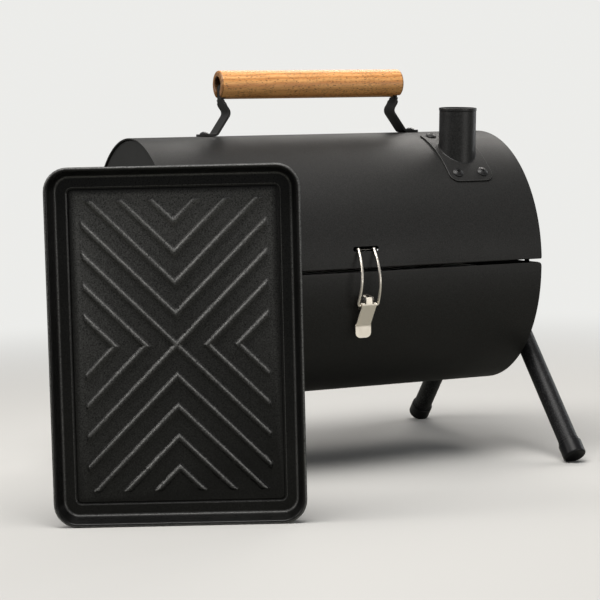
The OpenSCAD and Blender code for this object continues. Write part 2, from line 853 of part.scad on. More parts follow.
module at_leg_pivots() {
    for (sx = [-1, 1], sy = [-1, 1])
        radial(0, sy * (180 - leg_angle)) translate([0, 0, pivot_r])
            rotate([0, sx * 90, 0]) children();
}

// Each bolt's head is outside the leg, and its nut is inside the barrel
module leg_bolts() {
    head_x = leg_x + leg_r + seat_gap;
    tail_x = end_in_x - nut_h - bolt_tail;
    color(screw_black) at_leg_pivots() {
        translate([0, 0, head_x]) dome(bolt_head_r, bolt_head_h);
        translate([0, 0, tail_x]) cylinder(h = head_x - tail_x + eps, r = bolt_r);
    }
}

module leg_spacers() {
    color(bare_steel) at_leg_pivots() translate([0, 0, end_x]) difference() {
        cylinder(h = leg_x - leg_r - seat_gap - end_x, r = bolt_r + 3.5);
        translate([0, 0, -1]) cylinder(h = 20, r = bolt_r);
    }
}

module leg_nuts() {
    color(bare_steel) at_leg_pivots() translate([0, 0, end_in_x])
        nut(nut_af + 2, nut_h, bolt_r);
}

// Grates and the rails that carry them

module rail(s, drop, half) {
    color(inner_black) translate([s * rail_x, 0, axis_z - drop]) {
        translate([s > 0 ? -rail_w : 0, -half, -rail_t]) cube([rail_w, 2 * half, rail_t]);
        translate([s > 0 ? -rail_t : 0, -half, -rail_w]) cube([rail_t, 2 * half, rail_w]);
    }
}

// Wire grate: a round-cornered frame, bars across it and two stiffeners below
module grate(half_l, half_w, frame_r, rod_r, pitch) {
    corner = 12;
    bars = ceil(2 * (half_l - frame_r) / pitch);
    for (s = [-1, 1]) {
        translate([0, s * (half_w - frame_r), 0]) along_x(2 * (half_l - corner))
            circle(frame_r);
        translate([s * (half_l - frame_r), 0, 0]) along_y(2 * (half_w - corner))
            circle(frame_r);
        translate([0, s * half_w / 3, frame_r * 0.3 - 1.8 * rod_r])
            along_x(2 * (half_l - rail_w - 3)) circle(rod_r);
    }
    for (a = [0 : 3]) rotate([0, 0, a * 90])
        translate((a % 2 == 0 ? [half_l, half_w, 0] : [half_w, half_l, 0])
            - [corner, corner, 0])
            rotate_extrude(angle = 90) translate([corner - frame_r, 0]) circle(frame_r);
    for (i = [1 : bars - 1])
        translate([-half_l + frame_r + 2 * (half_l - frame_r) * i / bars, 0, frame_r * 0.3])
            along_y(2 * (half_w - frame_r)) circle(rod_r);
}

module cooking_grate() {
    color(bare_steel) translate([0, 0, axis_z - rail_drop + frame_rod_r + seat_gap])
        grate(grate_half_l, grate_half_w, frame_rod_r, bar_r, bar_pitch);
}

module charcoal_grate() {
    color(bare_steel) translate([0, 0, axis_z - coal_drop + frame_rod_r + seat_gap])
        grate(coal_half_l, coal_half_w, frame_rod_r, bar_r * 1.3, coal_pitch);
}

// Griddle

// Sweeps a flat shape round a rounded rectangle; its x is the way outwards
// from the corner circles' centres and its y becomes Z
module sweep_rect(w, h, r) {
    for (a = [0 : 3]) rotate([0, 0, a * 90])
        translate((a % 2 == 0 ? [w, h, 0] : [h, w, 0]) / 2 - [r, r, 0])
            rotate_extrude(angle = 90) children();
    for (a = [0 : 3]) rotate([0, 0, a * 90])
        translate([(a % 2 == 0 ? w : h) / 2 - r, 0, 0])
            along_y((a % 2 == 0 ? h : w) - 2 * r) children();
}

// Outline of a V shaped rib with square arms: its inner corner is at [0, at - rise]
module chevron(at, rise, low, high) {
    polygon([[0, at - rise], [low, at - rise + low], [high, at + rise + high],
        [0, at + rise], [-high, at + rise + high], [-low, at - rise + low]]);
}

// Two crossing ribs, then V shapes that open outwards on all four sides; over is
// how far the ribs' cut ends reach past the ribbed field
module ribs(w, over) {
    rise = w / sqrt(2);
    end_x = rib_field_w + over;
    end_y = rib_field_h + over;
    for (s = [-1, 1])
        polygon([[-end_x, -s * end_x - rise], [end_x, s * end_x - rise],
            [end_x, s * end_x + rise], [-end_x, -s * end_x + rise]]);
    for (a = [0, 180]) rotate(a)
        for (k = [1 : floor((rib_field_h - 8) / rib_pitch)])
            chevron(k * rib_pitch, rise, min(end_x, end_y - k * rib_pitch + rise),
                min(end_x, end_y - k * rib_pitch - rise));
    for (a = [90, 270]) rotate(a)
        for (k = [1 : floor((rib_field_w - 8) / rib_pitch)])
            chevron(k * rib_pitch, rise, end_x - k * rib_pitch + rise,
                end_x - k * rib_pitch - rise);
}

// The pan lies on its back here: Z points out of the cooking surface
module griddle_pan() {
    foot_r = griddle_corner_r - wall_run;
    floor_w = griddle_w - 2 * wall_run;
    floor_h = griddle_h - 2 * wall_run;
    roll_x = griddle_corner_r - rim_roll_r;
    wall_top = roll_x - rim_roll_r * 0.4;
    difference() {
        union() {
            linear_extrude(griddle_t) round_rect(floor_w, floor_h, foot_r);
            sweep_rect(griddle_w, griddle_h, griddle_corner_r) {
                polygon([[foot_r - 0.6, 0], [foot_r + griddle_t * 0.6, 0],
                    [wall_top + griddle_t * 0.55, griddle_depth - rim_roll_r],
                    [wall_top - griddle_t * 0.55, griddle_depth - rim_roll_r],
                    [foot_r - 0.1, griddle_t]]);
                translate([roll_x, griddle_depth - rim_roll_r]) circle(rim_roll_r);
            }
            linear_extrude(griddle_t + rib_h * 0.6) ribs(rib_w, 2);
            linear_extrude(griddle_t + rib_h) ribs(rib_w * 0.5, 1.2);
        }
        translate([0, 0, griddle_t])
            sweep_rect(griddle_w - 2 * groove_in, griddle_h - 2 * groove_in, groove_corner_r)
                translate([groove_corner_r, 0.3]) circle(groove_r);
        translate([0, 0, -10]) linear_extrude(10)
            square([griddle_w + 10, griddle_h + 10], center = true);
        translate([0, 0, -10]) linear_extrude(10 + rib_h * 0.8) ribs(rib_w * 0.4, -1.3);
    }
}

module griddle_plate() {
    color(griddle_black)
        translate([griddle_x, griddle_y, griddle_h / 2]) rotate([0, 0, griddle_yaw])
            translate([0, griddle_depth, 0]) rotate([90, 0, 0]) griddle_pan();
}

side_names = ["left", "right"];
row_names = ["back", "front"];

base_shell();
lid_shell();
for (i = [0, 1]) {
    s = 2 * i - 1;
    base_end(s);
    lid_end(s);
    hinge_leaf(s, -1);
    hinge_leaf(s, 1);
    hinge_pin(s);
    rail(s, rail_drop, rail_half);
    rail(s, coal_drop, coal_rail_half);
    for (j = [0, 1]) {
        where = str(row_names[j], "_", side_names[i]);
        leg_tube(s, 2 * j - 1);
        foot_cap(s, 2 * j - 1);
    }
}
hinge_rivets(-1);  // hinge_base_rivets
hinge_rivets(1);  // hinge_lid_rivets
chimney_tube();
chimney_plate();
chimney_screws();
chimney_nuts();
handle_grip();
handle_strap();
handle_screws();
handle_nuts();
latch_bracket();
latch_rivets();
latch_pin();
latch_lever();
latch_bail();
leg_bolts();
leg_spacers();
leg_nuts();
cooking_grate();
charcoal_grate();
griddle_plate();
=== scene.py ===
# A portable charcoal barrel grill on folding legs, with its lid shut and latched, and
# its griddle plate standing in front of the left end. X runs along the barrel towards
# the chimney, -Y is the front and +Z is up. The origin is on the table below the barrel.

import math

import bmesh
import bpy
from mathutils import Matrix, Quaternion, Vector


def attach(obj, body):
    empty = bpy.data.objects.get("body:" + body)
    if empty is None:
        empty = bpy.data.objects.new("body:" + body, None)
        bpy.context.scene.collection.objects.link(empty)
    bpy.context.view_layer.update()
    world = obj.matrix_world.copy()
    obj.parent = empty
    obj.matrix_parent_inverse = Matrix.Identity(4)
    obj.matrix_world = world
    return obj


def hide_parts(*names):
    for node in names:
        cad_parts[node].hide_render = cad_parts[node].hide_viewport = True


bpy.ops.wm.read_factory_settings(use_empty=True)
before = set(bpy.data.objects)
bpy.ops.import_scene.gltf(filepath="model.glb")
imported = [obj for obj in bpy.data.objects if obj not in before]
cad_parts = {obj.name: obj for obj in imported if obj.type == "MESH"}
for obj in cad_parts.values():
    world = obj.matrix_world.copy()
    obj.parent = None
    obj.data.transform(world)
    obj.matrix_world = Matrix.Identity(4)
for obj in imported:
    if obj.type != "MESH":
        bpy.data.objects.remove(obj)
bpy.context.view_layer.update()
mm = 0.001


# Photographer's view. The camera stands to the left of the front, a little above the
# table, and is tipped slightly about its own line of sight.

view_turn = math.radians(23.55)
view_drop = math.radians(5.09)
view_tip = math.radians(-1.32)
view_distance = 1798.75 * mm
view_centre = Vector((-14.5, 0, 157.6)) * mm
view_lens = 108.78

sight = Vector((
    math.sin(view_turn) * math.cos(view_drop),
    math.cos(view_turn) * math.cos(view_drop),
    -math.sin(view_drop),
))
camera_data = bpy.data.cameras.new("view")
camera_data.lens = view_lens
camera_data.sensor_width = 36
camera_data.clip_start = 0.05
camera_data.clip_end = 20
camera = bpy.data.objects.new("view", camera_data)
camera.location = view_centre - view_distance * sight
camera.rotation_mode = "QUATERNION"
camera.rotation_quaternion = sight.to_track_quat("-Z", "Y") @ Quaternion((0, 0, 1), view_tip)
bpy.context.collection.objects.link(camera)
bpy.context.scene.camera = camera
bpy.context.scene.view_settings.view_transform = "Standard"


# Pale table top and backdrop under soft studio light. To the grill both are darker than
# they look, so its underside and its sheets stay dark.


def add_node(material, kind, inputs=None, **settings):
    """Adds one shader node. An input is a number, a colour or the socket that feeds it."""
    tree = material.node_tree
    made = tree.nodes.new(kind)
    for name, value in settings.items():
        setattr(made, name, value)
    for name, value in (inputs or {}).items():
        if isinstance(value, bpy.types.NodeSocket):
            tree.links.new(value, made.inputs[name])
        else:
            made.inputs[name].default_value = value
    return made


def new_finish(name, colour, roughness, metallic=0.0, specular=0.5):
    """A new material with its plain values on the shader, and that shader."""
    material = bpy.data.materials.new(name)
    material.use_nodes = True
    shader = material.node_tree.nodes["Principled BSDF"]
    shader.inputs["Base Color"].default_value = (*colour, 1)
    shader.inputs["Roughness"].default_value = roughness
    shader.inputs["Metallic"].default_value = metallic
    shader.inputs["Specular IOR Level"].default_value = specular
    return material, shader


def object_place(material):
    """The place on the object, which a finish's textures follow."""
    return add_node(material, "ShaderNodeTexCoord").outputs["Object"]


def compute(material, operation, first, second, **settings):
    """One step of arithmetic on two values."""
    return add_node(
        material, "ShaderNodeMath", {0: first, 1: second}, operation=operation,
        **settings).outputs[0]


def seen_share(material, glossy_share):
    """1 for what the camera sees, a part of that for reflections, and 0 for other light."""
    ray = add_node(material, "ShaderNodeLightPath").outputs
    in_gloss = compute(material, "MULTIPLY", ray["Is Glossy Ray"], glossy_share)
    return compute(material, "MAXIMUM", ray["Is Camera Ray"], in_gloss)


backdrop_colour = (0.84, 0.84, 0.82, 1)
table_fade_from = 0.45
table_fade_to = 1.5
table_in_gloss = 0.13
room_in_gloss = 0.22
table_top, table_shader = new_finish("table_top", (0.56, 0.555, 0.54), 0.8, specular=0.1)
table_dim = add_node(table_top, "ShaderNodeBsdfDiffuse", {"Color": (0.25, 0.25, 0.22, 1)})
table_glow = add_node(table_top, "ShaderNodeEmission", {"Color": backdrop_colour, "Strength": 1.0})
table_reach = add_node(
    table_top, "ShaderNodeVectorMath", {0: object_place(table_top)}, operation="LENGTH")
table_fade = add_node(table_top, "ShaderNodeMapRange", {
    "Value": table_reach.outputs["Value"], "From Min": table_fade_from, "From Max": table_fade_to},
    interpolation_type="SMOOTHSTEP")
table_far = add_node(table_top, "ShaderNodeMixShader", {
    0: table_fade.outputs["Result"], 1: table_shader.outputs[0], 2: table_glow.outputs[0]})
table_seen = add_node(table_top, "ShaderNodeMixShader", {
    0: seen_share(table_top, table_in_gloss), 1: table_dim.outputs[0], 2: table_far.outputs[0]})
table_top.node_tree.links.new(
    table_seen.outputs[0], table_top.node_tree.nodes["Material Output"].inputs[0])

table_bm = bmesh.new()
bmesh.ops.create_grid(table_bm, x_segments=2, y_segments=2, size=6)
table_mesh = bpy.data.meshes.new("table")
table_bm.to_mesh(table_mesh)
table_bm.free()
table_mesh.materials.append(table_top)
table = bpy.data.objects.new("table", table_mesh)
bpy.context.collection.objects.link(table)

room = bpy.data.worlds.new("studio")
bpy.context.scene.world = room
room.use_nodes = True
room_light = room.node_tree.nodes["Background"]
room_light.inputs["Color"].default_value = (0.95, 0.97, 1.0, 1)
room_light.inputs["Strength"].default_value = 0.16
backdrop = add_node(room, "ShaderNodeBackground", {"Color": backdrop_colour, "Strength": 1.0})
seen = add_node(room, "ShaderNodeMixShader", {
    0: seen_share(room, room_in_gloss), 1: room_light.outputs[0], 2: backdrop.outputs[0]})
room.node_tree.links.new(seen.outputs[0], room.node_tree.nodes["World Output"].inputs[0])


def hang_lamp(name, place, aim, width, height, watts, colour):
    """A soft rectangular lamp at place that shines towards aim."""
    lamp = bpy.data.lights.new(name, "AREA")
    lamp.shape = "RECTANGLE"
    lamp.size = width
    lamp.size_y = height
    lamp.energy = watts
    lamp.color = colour
    hung = bpy.data.objects.new(name, lamp)
    hung.location = Vector(place)
    hung.rotation_mode = "QUATERNION"
    hung.rotation_quaternion = (Vector(aim) - Vector(place)).to_track_quat("-Z", "Y")
    bpy.context.collection.objects.link(hung)


hang_lamp("lamp_top", (-0.4, -0.5, 1.75), (-0.05, -0.05, 0.2), 1.3, 0.8, 34, (1.0, 0.98, 0.95))
hang_lamp("lamp_ridge", (0.7, 0.7, 1.2), (0.1, 0, 0.25), 0.9, 0.4, 8, (1.0, 0.96, 0.91))
hang_lamp("lamp_front", (0.9, -2.1, 0.3), (0, 0, 0.15), 1.0, 0.5, 8, (1.0, 0.98, 0.95))
hang_lamp("lamp_left", (-1.7, 0.15, 1.1), (-0.1, 0, 0.2), 0.6, 0.8, 13, (1.0, 0.97, 0.93))
hang_lamp("lamp_right", (1.7, 0.35, 0.6), (0.1, 0, 0.2), 0.3, 1.1, 4, (0.96, 0.98, 1.0))


# Base shell. One blank of 1.2 mm sheet is cut with round corners, hemmed inwards along
# both long edges, rolled to a half cylinder and powder coated in fine matt black.

barrel_r = 125 * mm
barrel_len = 376 * mm
axis_z = 194 * mm
sheet_t = 1.2 * mm
half_gap = 1.65 * mm
base_z = axis_z - half_gap
hem_w = 8 * mm
hem_len = barrel_len - 25 * mm
base_corner_r = 3.5 * mm
roll_step = math.radians(2.25)
shell_edge = 0.35 * mm
hem_round = 0.8
corner_steps = 6


def noise(material, place, scale, detail, roughness=0.5):
    """A cloudy texture's value at a place."""
    return add_node(material, "ShaderNodeTexNoise", {
        "Vector": place, "Scale": scale, "Detail": detail, "Roughness": roughness}).outputs["Fac"]


def between(material, value, low, high, start=0.0, end=1.0):
    """A number that goes from low to high while a value goes from start to end."""
    return add_node(material, "ShaderNodeMapRange", {
        "Value": value, "From Min": start, "From Max": end, "To Min": low, "To Max": high,
    }).outputs["Result"]


def tone(material, value, low, high, start=0.0, end=1.0):
    """A colour that goes from low to high while a value goes from start to end."""
    ramp = add_node(material, "ShaderNodeValToRGB", {"Fac": value})
    for stop, position, colour in ((0, start, low), (1, end, high)):
        ramp.color_ramp.elements[stop].position = position
        ramp.color_ramp.elements[stop].color = (*colour, 1)
    return ramp.outputs["Color"]


def blend(material, share, low, high, way="MIX"):
    """Blends two colours by a share."""
    return add_node(material, "ShaderNodeMix", {
        "Factor": share, "A": low, "B": high}, data_type="RGBA", blend_type=way).outputs["Result"]


def painted(material, name):
    """A share that is written on the mesh under a name."""
    return add_node(material, "ShaderNodeAttribute", attribute_name=name).outputs["Fac"]


def dress(material, shader, colour=None, gloss=None, relief=None, strength=0.0, depth=0.0):
    """Feeds a shader its colour, its roughness and a relief of some depth."""
    normal = relief
    if relief is not None:
        normal = add_node(material, "ShaderNodeBump", {
            "Height": relief, "Strength": strength, "Distance": depth}).outputs["Normal"]
    for name, socket in (("Base Color", colour), ("Roughness", gloss), ("Normal", normal)):
        if socket is not None:
            material.node_tree.links.new(socket, shader.inputs[name])


def new_powder(name, colour, roughness, grain, specular, contrast=1.0):
    """Powder coat: fine grain in its height and colour, faint clouds and painted edge highlights.
    """
    material, shader = new_finish(name, colour, roughness, specular=specular)
    place = object_place(material)
    fine = noise(material, place, 1.0 / grain, 3.0, 0.65)
    cloud = noise(material, place, 14.0, 4.0, 0.55)
    tint = tone(
        material, fine, [(1 - 0.5 * contrast) * c for c in colour],
        [(1 + 0.8 * contrast) * c for c in colour], 0.36, 0.68)
    # Marked edges are paled towards a light grey, flecked by the grain: a painted edge highlight.
    edge_highlight_share = compute(material, "MULTIPLY", painted(material, "edge"), fine)
    coat = blend(material, edge_highlight_share, tint, (*edge_highlight_colour, 1))
    gloss = between(material, cloud, roughness - 0.04, roughness + 0.05, 0.3, 0.7)
    dress(material, shader, coat, gloss, fine, strength=0.4, depth=0.12 * mm)
    return material


# The pale grey of the coat's broken edges is a painted highlight.
edge_highlight_colour = (0.13, 0.13, 0.128)
powder_coat = new_powder("powder_coat_black", (0.0118, 0.0116, 0.0112), 0.52, 0.9 * mm, 0.26)


def bevel(bm, geom, width, segments, affect="EDGES", clamp=False):
    """Rounds some edges or corners."""
    return bmesh.ops.bevel(
        bm, geom=geom, offset=width, affect=affect, segments=segments, profile=0.5,
        material=-1, clamp_overlap=clamp)


def verts_of(geom):
    """The points among some geometry."""
    return [v for v in geom if isinstance(v, bmesh.types.BMVert)]


def cut_plane(bm, point, way, **side):
    """Cuts a mesh along a plane, and clears the side that is named, if any."""
    return bmesh.ops.bisect_plane(
        bm, geom=bm.verts[:] + bm.edges[:] + bm.faces[:], plane_co=point, plane_no=way, **side)


def outline(bm, width, depth, corner_r=0.0, at=(0, 0)):
    """Marks a rectangle with round corners on the flat sheet, for an edge or a hole."""
    marked = bmesh.ops.create_grid(bm, x_segments=1, y_segments=1, size=0.5)["verts"]
    bmesh.ops.scale(bm, vec=(width, depth, 1), verts=marked)
    bmesh.ops.translate(bm, vec=(*at, 0), verts=marked)
    if corner_r:
        bevel(bm, marked, corner_r, corner_steps, affect="VERTICES")


def blank(bm, thickness, edge=0.0):
    """Cuts the marked blank out of sheet: its face is at Z = 0 and its back below."""
    bmesh.ops.delete(bm, geom=bm.faces[:], context="FACES_ONLY")
    bmesh.ops.triangle_fill(bm, edges=bm.edges[:], use_beauty=True)
    for face in bm.faces:
        if face.normal.z < 0:
            face.normal_flip()
    back = bmesh.ops.extrude_face_region(bm, geom=bm.faces[:], use_keep_orig=True)["geom"]
    bmesh.ops.translate(bm, vec=(0, 0, -thickness), verts=verts_of(back))
    bmesh.ops.recalc_face_normals(bm, faces=bm.faces[:])
    if edge:
        soften(bm, edge)


def soften(bm, width, above=40):
    """Breaks each edge sharper than some degrees, and marks it for the coat's painted edge
    highlight.
    """
    edge = bm.faces.layers.float.get("edge") or bm.faces.layers.float.new("edge")
    sharp = [e for e in bm.edges if e.is_manifold and e.calc_face_angle(0) > math.radians(above)]
    for face in bevel(bm, sharp, width, 2, clamp=True)["faces"]:
        face[edge] = 1.0


def score(bm, axis, places):
    """Marks lines across a blank, so that it can bend there."""
    for place in places:
        point = Vector((0, 0, 0))
        point[axis] = place
        along = Vector((0, 0, 0))
        along[axis] = 1
        cut_plane(bm, point, along, dist=1e-7)


def roll(bm, radius, middle_z, start=0.0):
    """Rolls a blank round the barrel's axis. Y on the blank becomes the way round it."""
    for vert in bm.verts:
        angle = start + vert.co.y / radius
        reach = radius + vert.co.z
        vert.co = (vert.co.x, reach * math.sin(angle), middle_z + reach * math.cos(angle))


def fit(name, bm, body, finish, node, sharp=50):
    """Makes the piece, gives it its finish and lets it move with its body."""
    mesh = bpy.data.meshes.new(name)
    bm.to_mesh(mesh)
    bm.free()
    mesh.shade_smooth()
    mesh.set_sharp_from_angle(angle=math.radians(sharp))
    mesh.materials.append(finish)
    made = bpy.data.objects.new(name, mesh)
    bpy.context.collection.objects.link(made)
    even = made.modifiers.new("even_shading", "WEIGHTED_NORMAL")
    even.keep_sharp = True
    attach(made, body)
    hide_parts(node)


def score_lines(half, step):
    """Places from -half to half at even steps, without the ends."""
    count = math.ceil(2 * half / step)
    return [-half + 2 * half * k / count for k in range(1, count)]


def hem(bm, half_depth):
    """Folds the long edges inwards: a second thickness of sheet under both of them."""
    score(bm, 0, [-hem_len / 2, hem_len / 2])
    score(bm, 1, [-half_depth + hem_w, half_depth - hem_w])
    folded = [
        f for f in bm.faces
        if f.normal.z < -0.9
        and abs(f.calc_center_median().x) < hem_len / 2
        and abs(f.calc_center_median().y) > half_depth - hem_w
    ]
    under = bmesh.ops.extrude_face_region(bm, geom=folded)["geom"]
    bmesh.ops.delete(bm, geom=folded, context="FACES")
    bmesh.ops.translate(bm, vec=(0, 0, -sheet_t), verts=verts_of(under))
    fold = [
        e for e in bm.edges
        if all(abs(abs(v.co.y) - half_depth) < 1e-6 for v in e.verts)
        and all(abs(v.co.x) < hem_len / 2 + 1e-6 for v in e.verts)
        and all(abs(v.co.z) < 1e-6 or abs(v.co.z + 2 * sheet_t) < 1e-6 for v in e.verts)
        and abs(e.verts[0].co.z - e.verts[1].co.z) < 1e-6
    ]
    bevel(bm, fold, hem_round * sheet_t, 3)


base_depth = math.pi * barrel_r
base_bm = bmesh.new()
outline(base_bm, barrel_len, base_depth, base_corner_r)
blank(base_bm, sheet_t)
hem(base_bm, base_depth / 2)
score(base_bm, 1, score_lines(base_depth / 2, roll_step * barrel_r))
roll(base_bm, barrel_r, base_z, math.pi)
fit("base_shell_coated", base_bm, "base", powder_coat, "base_shell")


# Base end plates. Half discs are pressed from the same sheet, with the rim flanged
# into the shell. Two tabs on each stand up through the seam and carry the closed lid.

end_recess = 1.5 * mm
end_flange = 8 * mm
end_bend_r = 2.6 * mm
end_x = barrel_len / 2 - end_recess
end_edge = 0.3 * mm
stop_w = 8 * mm
stop_y = 101 * mm
stop_h = 2 * half_gap - 0.05 * mm
ends = ((-1, "left"), (1, "right"))
four = ((-1, -1), (-1, 1), (1, -1), (1, 1))


def end_plate(bm, radius, middle_z, sweep):
    """A half disc at the right end whose rim is turned inwards, as thick as the sheet."""
    rim = radius - sheet_t
    row = [bm.verts.new(p) for p in (
        (end_x, 0, middle_z), (end_x, rim, middle_z), (end_x - end_flange, rim, middle_z))]
    line = [bm.edges.new(pair) for pair in zip(row, row[1:])]
    bmesh.ops.spin(
        bm, geom=row + line, cent=(0, 0, middle_z), axis=(1, 0, 0), angle=sweep, steps=80)
    bmesh.ops.remove_doubles(bm, verts=bm.verts[:], dist=1e-6)
    bend = [
        e for e in bm.edges
        if all(abs(v.co.x - end_x) < 1e-6 for v in e.verts)
        and all(abs(math.hypot(v.co.y, v.co.z - middle_z) - rim) < 1e-5 for v in e.verts)
    ]
    bevel(bm, bend, end_bend_r, 5)
    bmesh.ops.recalc_face_normals(bm, faces=bm.faces[:])
    if sum(f.normal.x for f in bm.faces) < 0:
        bmesh.ops.reverse_faces(bm, faces=bm.faces[:])
    bmesh.ops.solidify(bm, geom=bm.faces[:], thickness=sheet_t)


def fit_ends(bm, body):
    """Fits an end plate, and its mirror image at the other end of the barrel."""
    other = bm.copy()
    bmesh.ops.scale(other, vec=(-1, 1, 1), verts=other.verts[:])
    bmesh.ops.reverse_faces(other, faces=other.faces[:])
    for plate, (side, where) in zip((other, bm), ends):
        fit(f"{body}_end_coated_{where}", plate, body, powder_coat,
            f"{body}_end_{where}")


base_end_bm = bmesh.new()
end_plate(base_end_bm, barrel_r, base_z, -math.pi)
score(base_end_bm, 1, [side * (stop_y + k * stop_w / 2) for side, k in four])
top_edge = [
    f for f in base_end_bm.faces
    if f.normal.z > 0.9
    and abs(f.calc_center_median().z - base_z) < 0.1 * mm
    and abs(abs(f.calc_center_median().y) - stop_y) < stop_w / 2
]
tabs = bmesh.ops.extrude_face_region(base_end_bm, geom=top_edge)["geom"]
bmesh.ops.delete(base_end_bm, geom=top_edge, context="FACES")
bmesh.ops.translate(base_end_bm, vec=(0, 0, stop_h), verts=verts_of(tabs))
soften(base_end_bm, end_edge, above=60)
fit_ends(base_end_bm, "base")


# Lid. Its shell is rolled like the base's, half a millimetre larger in radius, from a
# blank with the slot that takes the latch's bail and the hole that the chimney draws
# through. Its end plates are pressed like the base's, without tabs.

lid_r = 125.5 * mm
lid_z = axis_z + half_gap
lid_corner_r = 1.5 * mm
slot_x = -0.4 * mm
slot_z = 19.6 * mm
slot_w = 26.6 * mm
slot_h = 4.8 * mm
chimney_x = 127.5 * mm
chimney_turn = math.radians(33)
chimney_lean = math.radians(4)
chimney_bore_r = 16.8 * mm

chimney_place = (
    Matrix.Translation((
        chimney_x, -lid_r * math.sin(chimney_turn), lid_z + lid_r * math.cos(chimney_turn)))
    @ Matrix.Rotation(chimney_lean, 4, "X")
)
chimney_way = chimney_place.to_3x3() @ Vector((0, 0, 1))


def drop(point, radius):
    """Moves a point along the chimney until it lies on the lid's round, at some radius."""
    off = Vector((0, point.y, point.z - lid_z))
    near = off.dot(chimney_way)
    reach = -near + math.sqrt(near * near - off.length_squared + radius * radius)
    return point + reach * chimney_way


def mark_bore(bm, radius):
    """Marks on the flat blank where the chimney's round bore passes through it."""
    marked = bmesh.ops.create_circle(
        bm, cap_ends=False, radius=chimney_bore_r, segments=40)["verts"]
    for vert in marked:
        landed = drop(chimney_place @ vert.co, radius)
        vert.co = (landed.x, radius * math.atan2(landed.y, landed.z - lid_z), 0)


lid_depth = math.pi * lid_r
slot_turn = math.acos((slot_z - half_gap) / lid_r)
lid_bm = bmesh.new()
outline(lid_bm, barrel_len, lid_depth, lid_corner_r)
outline(lid_bm, slot_w, slot_h, 0.49 * slot_h, (slot_x, -lid_r * slot_turn))
mark_bore(lid_bm, lid_r)
blank(lid_bm, sheet_t)
hem(lid_bm, lid_depth / 2)
soften(lid_bm, shell_edge, above=60)
score(lid_bm, 1, score_lines(lid_depth / 2, roll_step * lid_r))
roll(lid_bm, lid_r, lid_z)
fit("lid_shell_coated", lid_bm, "lid", powder_coat, "lid_shell")

lid_end_bm = bmesh.new()
end_plate(lid_end_bm, lid_r, lid_z, math.pi)
soften(lid_end_bm, end_edge, above=60)
fit_ends(lid_end_bm, "lid")


# Two hinges at the back. Each leaf is a plate curved to its shell, with strips that are
# rolled round a steel pin: two on the base's leaf and one between them on the lid's.

hinge_x = 112 * mm
hinge_w = 42 * mm
hinge_leaf_h = 22 * mm
hinge_t = 1.5 * mm
hinge_pin_r = 1.6 * mm
hinge_pin_head_r = 1.6 * hinge_pin_r
hinge_pin_head_h = 1.4 * mm
leaf_corner_r = 3 * mm
leaf_gap = 0.02 * mm
leaf_start = 4.2 * mm
knuckle_r = 3.4 * mm
knuckle_gap = 0.4 * mm
knuckle_t = knuckle_r - hinge_pin_r
strip_root = 5 * mm
hinge_y = lid_r + 3.6 * mm
rivet_head_h = 1.6 * mm
rivet_tail_h = 1.4 * mm
hinge_rivet_r = 2 * mm
hinge_rivet_x = hinge_w / 3.4
rivet_z = leaf_start + hinge_leaf_h / 2 - half_gap


def round_path(points, radii):
    """Points along a path whose inner corners are bent to the given radii."""
    bent = [points[0]]
    for before, corner, after, radius in zip(points, points[1:], points[2:], radii):
        come = (corner - before).normalized()
        leave = (after - corner).normalized()
        bend = come.angle(leave)
        start = corner - come * radius * math.tan(bend / 2)
        inward = (leave - come * come.dot(leave)).normalized()
        for k in range(corner_steps + 1):
            part = bend * k / corner_steps
            bent.append(
                start + inward * radius * (1 - math.cos(part)) + come * radius * math.sin(part))
    return bent + [points[-1]]


def path_len(path):
    """The length of a path."""
    return sum((after - before).length for before, after in zip(path, path[1:]))


def arc(start, step, count):
    """Angles from a start at even steps, both given in degrees."""
    return [math.radians(start + step * k) for k in range(count)]


def move(bm, x, y, z):
    """Shifts a whole piece of mesh."""
    bmesh.ops.translate(bm, vec=(x, y, z), verts=bm.verts[:])


def put(bm, place):
    """Sets a whole piece of mesh at some place."""
    bmesh.ops.transform(bm, matrix=place, verts=bm.verts[:])


def bend_along(bm, path, across):
    """Bends a blank along a path. X on the blank lies across it, and Y goes along it."""
    reach = [0.0]
    for before, after in zip(path, path[1:]):
        reach.append(reach[-1] + (after - before).length)
    score(bm, 1, reach[1:-1])
    ways = [
        (path[min(k + 1, len(path) - 1)] - path[max(k - 1, 0)]).normalized()
        for k in range(len(path))
    ]
    for vert in bm.verts:
        k = 0
        while k < len(path) - 2 and vert.co.y > reach[k + 1]:
            k += 1
        part = (vert.co.y - reach[k]) / (reach[k + 1] - reach[k])
        way = ways[k].lerp(ways[k + 1], min(max(part, 0), 1)).normalized()
        place = path[k].lerp(path[k + 1], part)
        vert.co = place + across * vert.co.x + across.cross(way) * vert.co.z


def join_copy(bm, other, place=Matrix.Identity(4)):
    """Adds a copy of another piece of mesh at some place."""
    held = set(bm.verts)
    carrier = bpy.data.meshes.new("carrier")
    other.to_mesh(carrier)
    bm.from_mesh(carrier)
    bpy.data.meshes.remove(carrier)
    fresh = [v for v in bm.verts if v not in held]
    bmesh.ops.transform(bm, matrix=place, verts=fresh)
    return fresh


